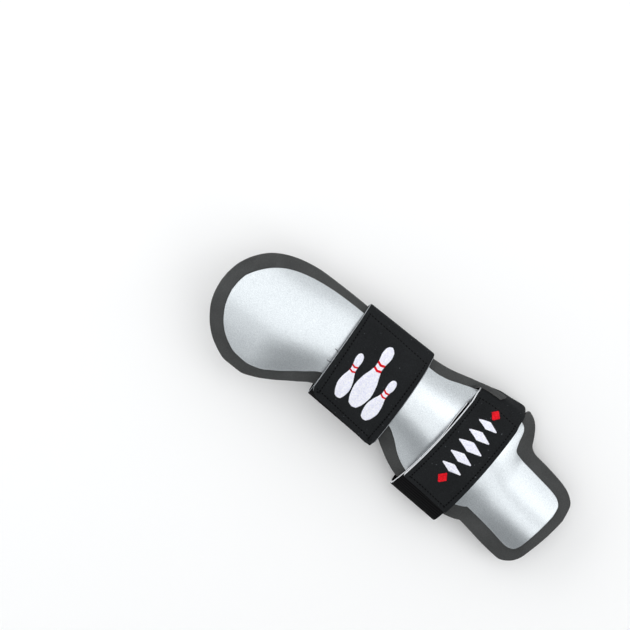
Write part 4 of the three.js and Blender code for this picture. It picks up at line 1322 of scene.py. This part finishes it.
# %% Lozenges and diamonds
LOZENGE_PITCH, LOZENGE_HEIGHT, LOZENGE_LESS = 9.2, 21.0, 2.0
DIAMOND_PLACE, DIAMOND_HEIGHT = 27.5, 9.0
ALL_RED = ((-1, 2),)
lozenges = []
for k in (-2, -1, 0, 1, 2):
    tall = LOZENGE_HEIGHT - LOZENGE_LESS * abs(k)
    lozenges += satin(-tall / 2, LOZENGE_PITCH * k, math.pi / 2, tall, lozenge_half_width, slant=0.5)
for k in (-1, 1):
    lozenges += satin(0.0, DIAMOND_PLACE * k - DIAMOND_HEIGHT / 2, 0.0, DIAMOND_HEIGHT, diamond_half_width,
                      ALL_RED)
hand_art = decorate("hand_lozenges", hand, HAND_SEAM, 0.575, lozenges)


# %% [markdown]
# ## Floor, light and camera
# A catalogue picture is taken on white paper under soft boxes. A few point lights would give hard spots on
# the metal, and a picture of a studio all round can't be fitted to it. A curved mirror shows each direction
# in one place, so each soft box is given as the range of directions that it fills above the glove, in
# degrees, and its brightness was set where the metal shows it. The world gives what little light comes from
# elsewhere. The camera looks straight down, turned so that the glove lies across the picture.

# %% Floor
FLOOR_HALF = 4.0
corners = [(x * FLOOR_HALF, y * FLOOR_HALF, 0) for x, y in ((-1, -1), (1, -1), (1, 1), (-1, 1))]
floor_mesh = bpy.data.meshes.new("floor")
floor_mesh.from_pydata(corners, [], [(0, 1, 2, 3)])
paper = Paint("paper", Roughness=0.95, Base_Color=(0.93, 0.93, 0.93, 1))
paper.rough(paper.ramp(paper.noise(paper.place(), 30), 0.9, 1.0))
floor_mesh.materials.append(paper.material)
floor = put_in_scene("floor", floor_mesh)
floor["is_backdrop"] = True
print("floor", 2 * FLOOR_HALF, "m wide")

# %% Light
LIGHT_DISTANCE = 1.3
# Directions along the glove, directions across it, brightness
SOFTBOXES = {
    "key": ((-30, 15), (-20, 57), 1.06),
    "middle_key": ((15, 30), (-20, 36), 1.0),
    "low_key": ((30, 60), (-25, -4), 1.3),
    "high_key": ((30, 60), (14, 64), 1.1),
    "shoulder": ((-35, 8), (-48, -20), 0.72),
    "fill": ((-35, 8), (-80, -48), 0.47),
    "thumb_fill": ((-30, 10), (58, 82), 0.62),
    "back": ((-80, -45), (-50, 50), 1.6),
}
WORLD_COLOUR, WORLD_STRENGTH = (0.95, 0.98, 1.0, 1), 0.30


def softbox(name, along, across, radiance):
    """Panel filling a range of directions above the glove."""
    middle_x, middle_y = (math.radians(sum(r) / 2) for r in (along, across))
    toward = Vector((math.tan(middle_x), math.tan(middle_y), 1)).normalized()
    x_axis = (Vector((1, 0, 0)) - toward * toward.x).normalized()
    turn = Matrix((x_axis, toward.cross(x_axis), toward)).transposed()
    data = bpy.data.lights.new(name, "AREA")
    data.shape = "RECTANGLE"
    data.size, data.size_y = (2 * LIGHT_DISTANCE * math.tan(math.radians(r[1] - r[0]) / 2)
                              for r in (along, across))
    data.energy = radiance * math.pi * data.size * data.size_y
    obj = put_in_scene(name, data)
    obj.matrix_world = Matrix.Translation(toward * LIGHT_DISTANCE) @ turn.to_4x4()
    obj.visible_camera = False


for name, (along, across, radiance) in SOFTBOXES.items():
    softbox(name, along, across, radiance)
world = bpy.data.worlds.new("studio")
world.use_nodes = True
world.node_tree.nodes["Background"].inputs["Color"].default_value = WORLD_COLOUR
world.node_tree.nodes["Background"].inputs["Strength"].default_value = WORLD_STRENGTH
bpy.context.scene.world = world
bpy.context.scene.view_settings.view_transform = "Standard"
print(len(SOFTBOXES), "soft boxes")

# %% Camera
CAMERA_HEIGHT, CAMERA_TURN = 0.8, 39.5
# Focal length and width of the picture, both in pixels
FOCAL_PIXELS, PICTURE_PIXELS = 1060, 630
middle = SHIFT * MM
camera_data = bpy.data.cameras.new("camera")
camera_data.sensor_width = 36
camera_data.lens = FOCAL_PIXELS / PICTURE_PIXELS * camera_data.sensor_width
camera_data.clip_start, camera_data.clip_end = 0.01, 20
camera = put_in_scene("camera", camera_data)
camera.location = (middle[0], middle[1], CAMERA_HEIGHT)
camera.rotation_euler = (0, 0, math.radians(CAMERA_TURN))
bpy.context.scene.camera = camera
print("lens", round(camera_data.lens, 1), "mm")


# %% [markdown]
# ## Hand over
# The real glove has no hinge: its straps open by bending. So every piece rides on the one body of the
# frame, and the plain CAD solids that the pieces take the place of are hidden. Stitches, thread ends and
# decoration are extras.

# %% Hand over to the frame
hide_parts("plate")
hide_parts("foam_pad")
STRAP_NODES = {"strap_tab": "strap", "strap_band": "strap", "hook_pad": "hook_tape"}
for tag, parts in (("wrist", wrist_parts), ("hand", hand_parts)):
    for obj, (node, slot) in zip(parts, STRAP_NODES.items()):
        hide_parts(f"{tag}_{node}")
for obj in (metal, foam, *wrist_parts, *hand_parts, wrist_seam, hand_seam, loose, *wrist_art, *hand_art):
    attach(obj, "root")

before, after = bounds_before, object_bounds()
print("box", [round(v, 4) for v in (*after[0], *after[1])])
